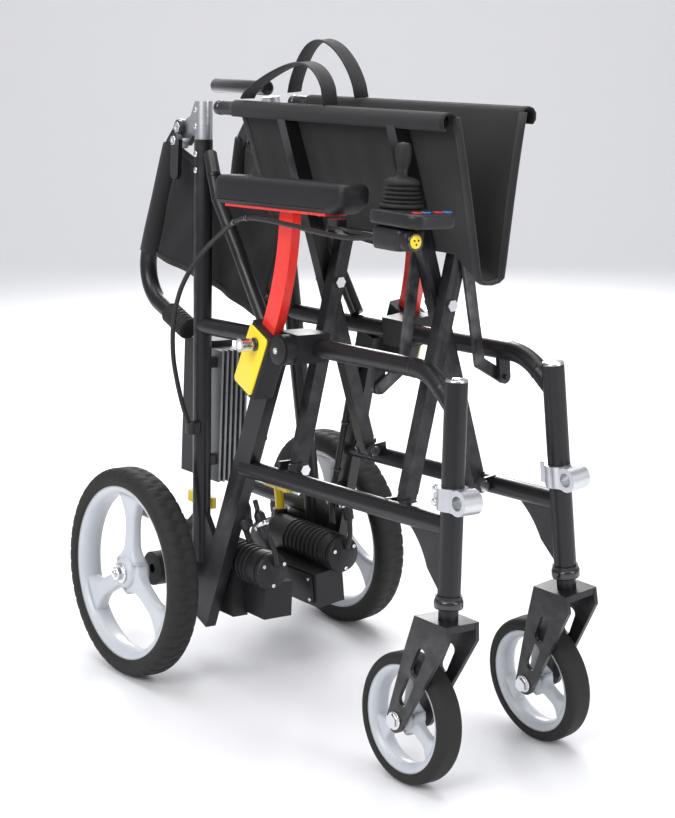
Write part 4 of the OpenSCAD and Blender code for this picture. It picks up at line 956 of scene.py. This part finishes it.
# %% Ribs, end bell, cover and plugs
MOTOR_U, MOTOR_W = -35.4, 157
for side, label in SIDES:
    put, body = placed(side), f"side_{label}"
    for k in range(9):
        rib = [(22.6, -1.2), (24.4, -0.9), (24.8, 0), (24.4, 0.9), (22.6, 1.2)]
        pts, faces = lathe(rib, (MOTOR_U, 424 + 9 * k, MOTOR_W), (0, 1, 0), put, 48, closed=True)
        piece(f"motor_rib_{k}_{label}", pts, faces, HOUSING, body)
    bell = [(22, 1), (23.4, 0), (23.6, -6), (21.5, -9.5), (14, -11), (13, -13), (4, -13.4), (0.5, -13.4)]
    pts, faces = lathe(bell, (MOTOR_U, 402, MOTOR_W), (0, 1, 0), put, 48)
    piece(f"motor_bell_{label}", pts, faces, HOUSING, body)
    for k in range(3):
        a = math.radians(30 + 120 * k)
        spot = (MOTOR_U + 17.5 * math.cos(a), 392.6, MOTOR_W + 17.5 * math.sin(a))
        hex_nut(f"bell_screw_{k}_{label}", spot, (0, -1, 0), 2.8, 2.2, side, body)
    cover = [[(-74.6 + d, 463.5 + a * s, 115 + b * s) for a, b in soft_box(104, 38, 5, 4)]
             for d, s in ((0.4, 1), (-1.4, 1), (-2, 0.97))]
    pts, faces = loft(cover, put)
    piece(f"brake_cover_{label}", pts, faces, HOUSING, body)
    for k, (y, w) in enumerate(((418, 101), (509, 101), (418, 129), (509, 129))):
        hex_nut(f"cover_screw_{k}_{label}", (-76.2, y, w), (-1, 0, 0), 2.6, 1.8, side, body)
    face_plate = [(4, 0), (31, 0), (33, 0.8), (33, 2.6), (31.5, 3.6), (20, 4), (19, 5.4), (6, 5.6)]
    pts, faces = lathe(face_plate, (-46, WHEEL_Y, WHEEL_W), (-1, 0, 0), put, 64)
    piece(f"gearbox_cover_{label}", pts, faces, HOUSING, body)
    for k in range(6):
        a = math.radians(60 * k)
        spot = (-49, WHEEL_Y + 27 * math.cos(a), WHEEL_W + 27 * math.sin(a))
        hex_nut(f"gearbox_screw_{k}_{label}", spot, (-1, 0, 0), 3, 2.2, side, body)
    loop = [(-20, strut_y(246) - 12, 246), (-20, strut_y(232) - 30, 226), (-24, 392, 208), (-30, 384, 186),
            (-35, 386, 168)]
    pts, faces = sweep(smooth_route(loop, 8), ring(3.2, 12), put)
    piece(f"brake_cable_{label}", pts, faces, CABLE, body)
    plug = [(3.3, -14), (6, -13), (7.2, -4), (7.2, 2), (8.4, 3), (8.4, 8), (7.2, 9), (7, 18), (3.4, 24)]
    pts, faces = lathe(plug, (-22, 398, 214), (0.1, 0.45, 0.85), put, 28)
    piece(f"brake_plug_{label}", pts, faces, CASE_BLACK, body)
    pts, faces = lathe([(7.2, 2.6), (8.9, 2.8), (9.1, 5.5), (8.9, 8.2), (7.2, 8.4)], (-22, 398, 214),
                       (0.1, 0.45, 0.85), put, 28, closed=True)
    piece(f"plug_ring_{label}", pts, faces, STEEL, body)
print("drives detailed on both sides")

# %% [markdown]
# ## Floor, light and camera
# A pale floor that curves up into the backdrop leaves no horizon. Large soft lights keep the black
# frame readable by their reflections, and the camera looks down a little from the chair's right front.

# %% Floor and backdrop
STUDIO = bpy.data.materials.new("studio_paper")
STUDIO.use_nodes = True
paper = STUDIO.node_tree.nodes["Principled BSDF"]
paper.inputs["Base Color"].default_value = (0.86, 0.86, 0.88, 1)
paper.inputs["Roughness"].default_value = 0.85
sweep_line = [(-7.0, 0.0)] + [(3.0 + 1.6 * math.sin(a), 1.6 - 1.6 * math.cos(a)) for a in
                              [math.pi / 2 * k / 16 for k in range(17)]] + [(4.6, 6.0)]
view_turn = Matrix.Rotation(math.atan2(-0.579, 0.7821), 4, "Z")
points = [view_turn @ Vector((x, d, h)) for d, h in sweep_line for x in (-9, 9)]
faces = [(2 * k, 2 * k + 1, 2 * k + 3, 2 * k + 2) for k in range(len(sweep_line) - 1)]
floor = piece("studio_floor", points, faces, STUDIO)

# %% Lights
def area_light(name, place, target, size, power, colour=(1, 1, 1)):
    data = bpy.data.lights.new(name, "AREA")
    data.shape = "RECTANGLE"
    data.size, data.size_y = size
    data.energy = power
    data.color = colour
    lamp = bpy.data.objects.new(name, data)
    bpy.context.scene.collection.objects.link(lamp)
    lamp.location = place
    lamp.rotation_euler = (Vector(target) - Vector(place)).to_track_quat("-Z", "Y").to_euler()
    return lamp


area_light("key_softbox", (-2.6, -0.9, 2.3), (0, 0, 0.4), (1.8, 1.8), 62)
area_light("front_softbox", (0.9, -3.0, 1.5), (0, 0, 0.35), (1.4, 2.2), 34)
area_light("top_softbox", (0.2, 0.3, 3.2), (0, 0, 0), (3.0, 3.0), 82)
area_light("rim_strip", (1.6, 2.0, 1.6), (0, 0, 0.5), (0.6, 2.2), 40)
world = bpy.data.worlds.new("studio_air")
bpy.context.scene.world = world
world.use_nodes = True
world.node_tree.nodes["Background"].inputs["Color"].default_value = (0.95, 0.96, 1.0, 1)
world.node_tree.nodes["Background"].inputs["Strength"].default_value = 0.42

# %% Camera
lens = bpy.data.cameras.new("studio_camera")
lens.lens = 85.85
lens.sensor_width = 36
camera = bpy.data.objects.new("studio_camera", lens)
bpy.context.scene.collection.objects.link(camera)
forward = Vector((0.579, 0.7821, -0.2304)).normalized()
right = forward.cross(Vector((0, 0, 1))).normalized()
up = right.cross(forward)
roll = math.radians(-0.8)
right, up = right * math.cos(roll) + up * math.sin(roll), up * math.cos(roll) - right * math.sin(roll)
turn = Matrix((right, up, -forward)).transposed()
camera.matrix_world = Matrix.Translation((-1.3755, -1.8672, 0.9148)) @ turn.to_4x4()
bpy.context.scene.camera = camera
bpy.context.scene.view_settings.view_transform = "Standard"
print("camera is", round(camera.location.length, 2), "m from the middle of the floor")
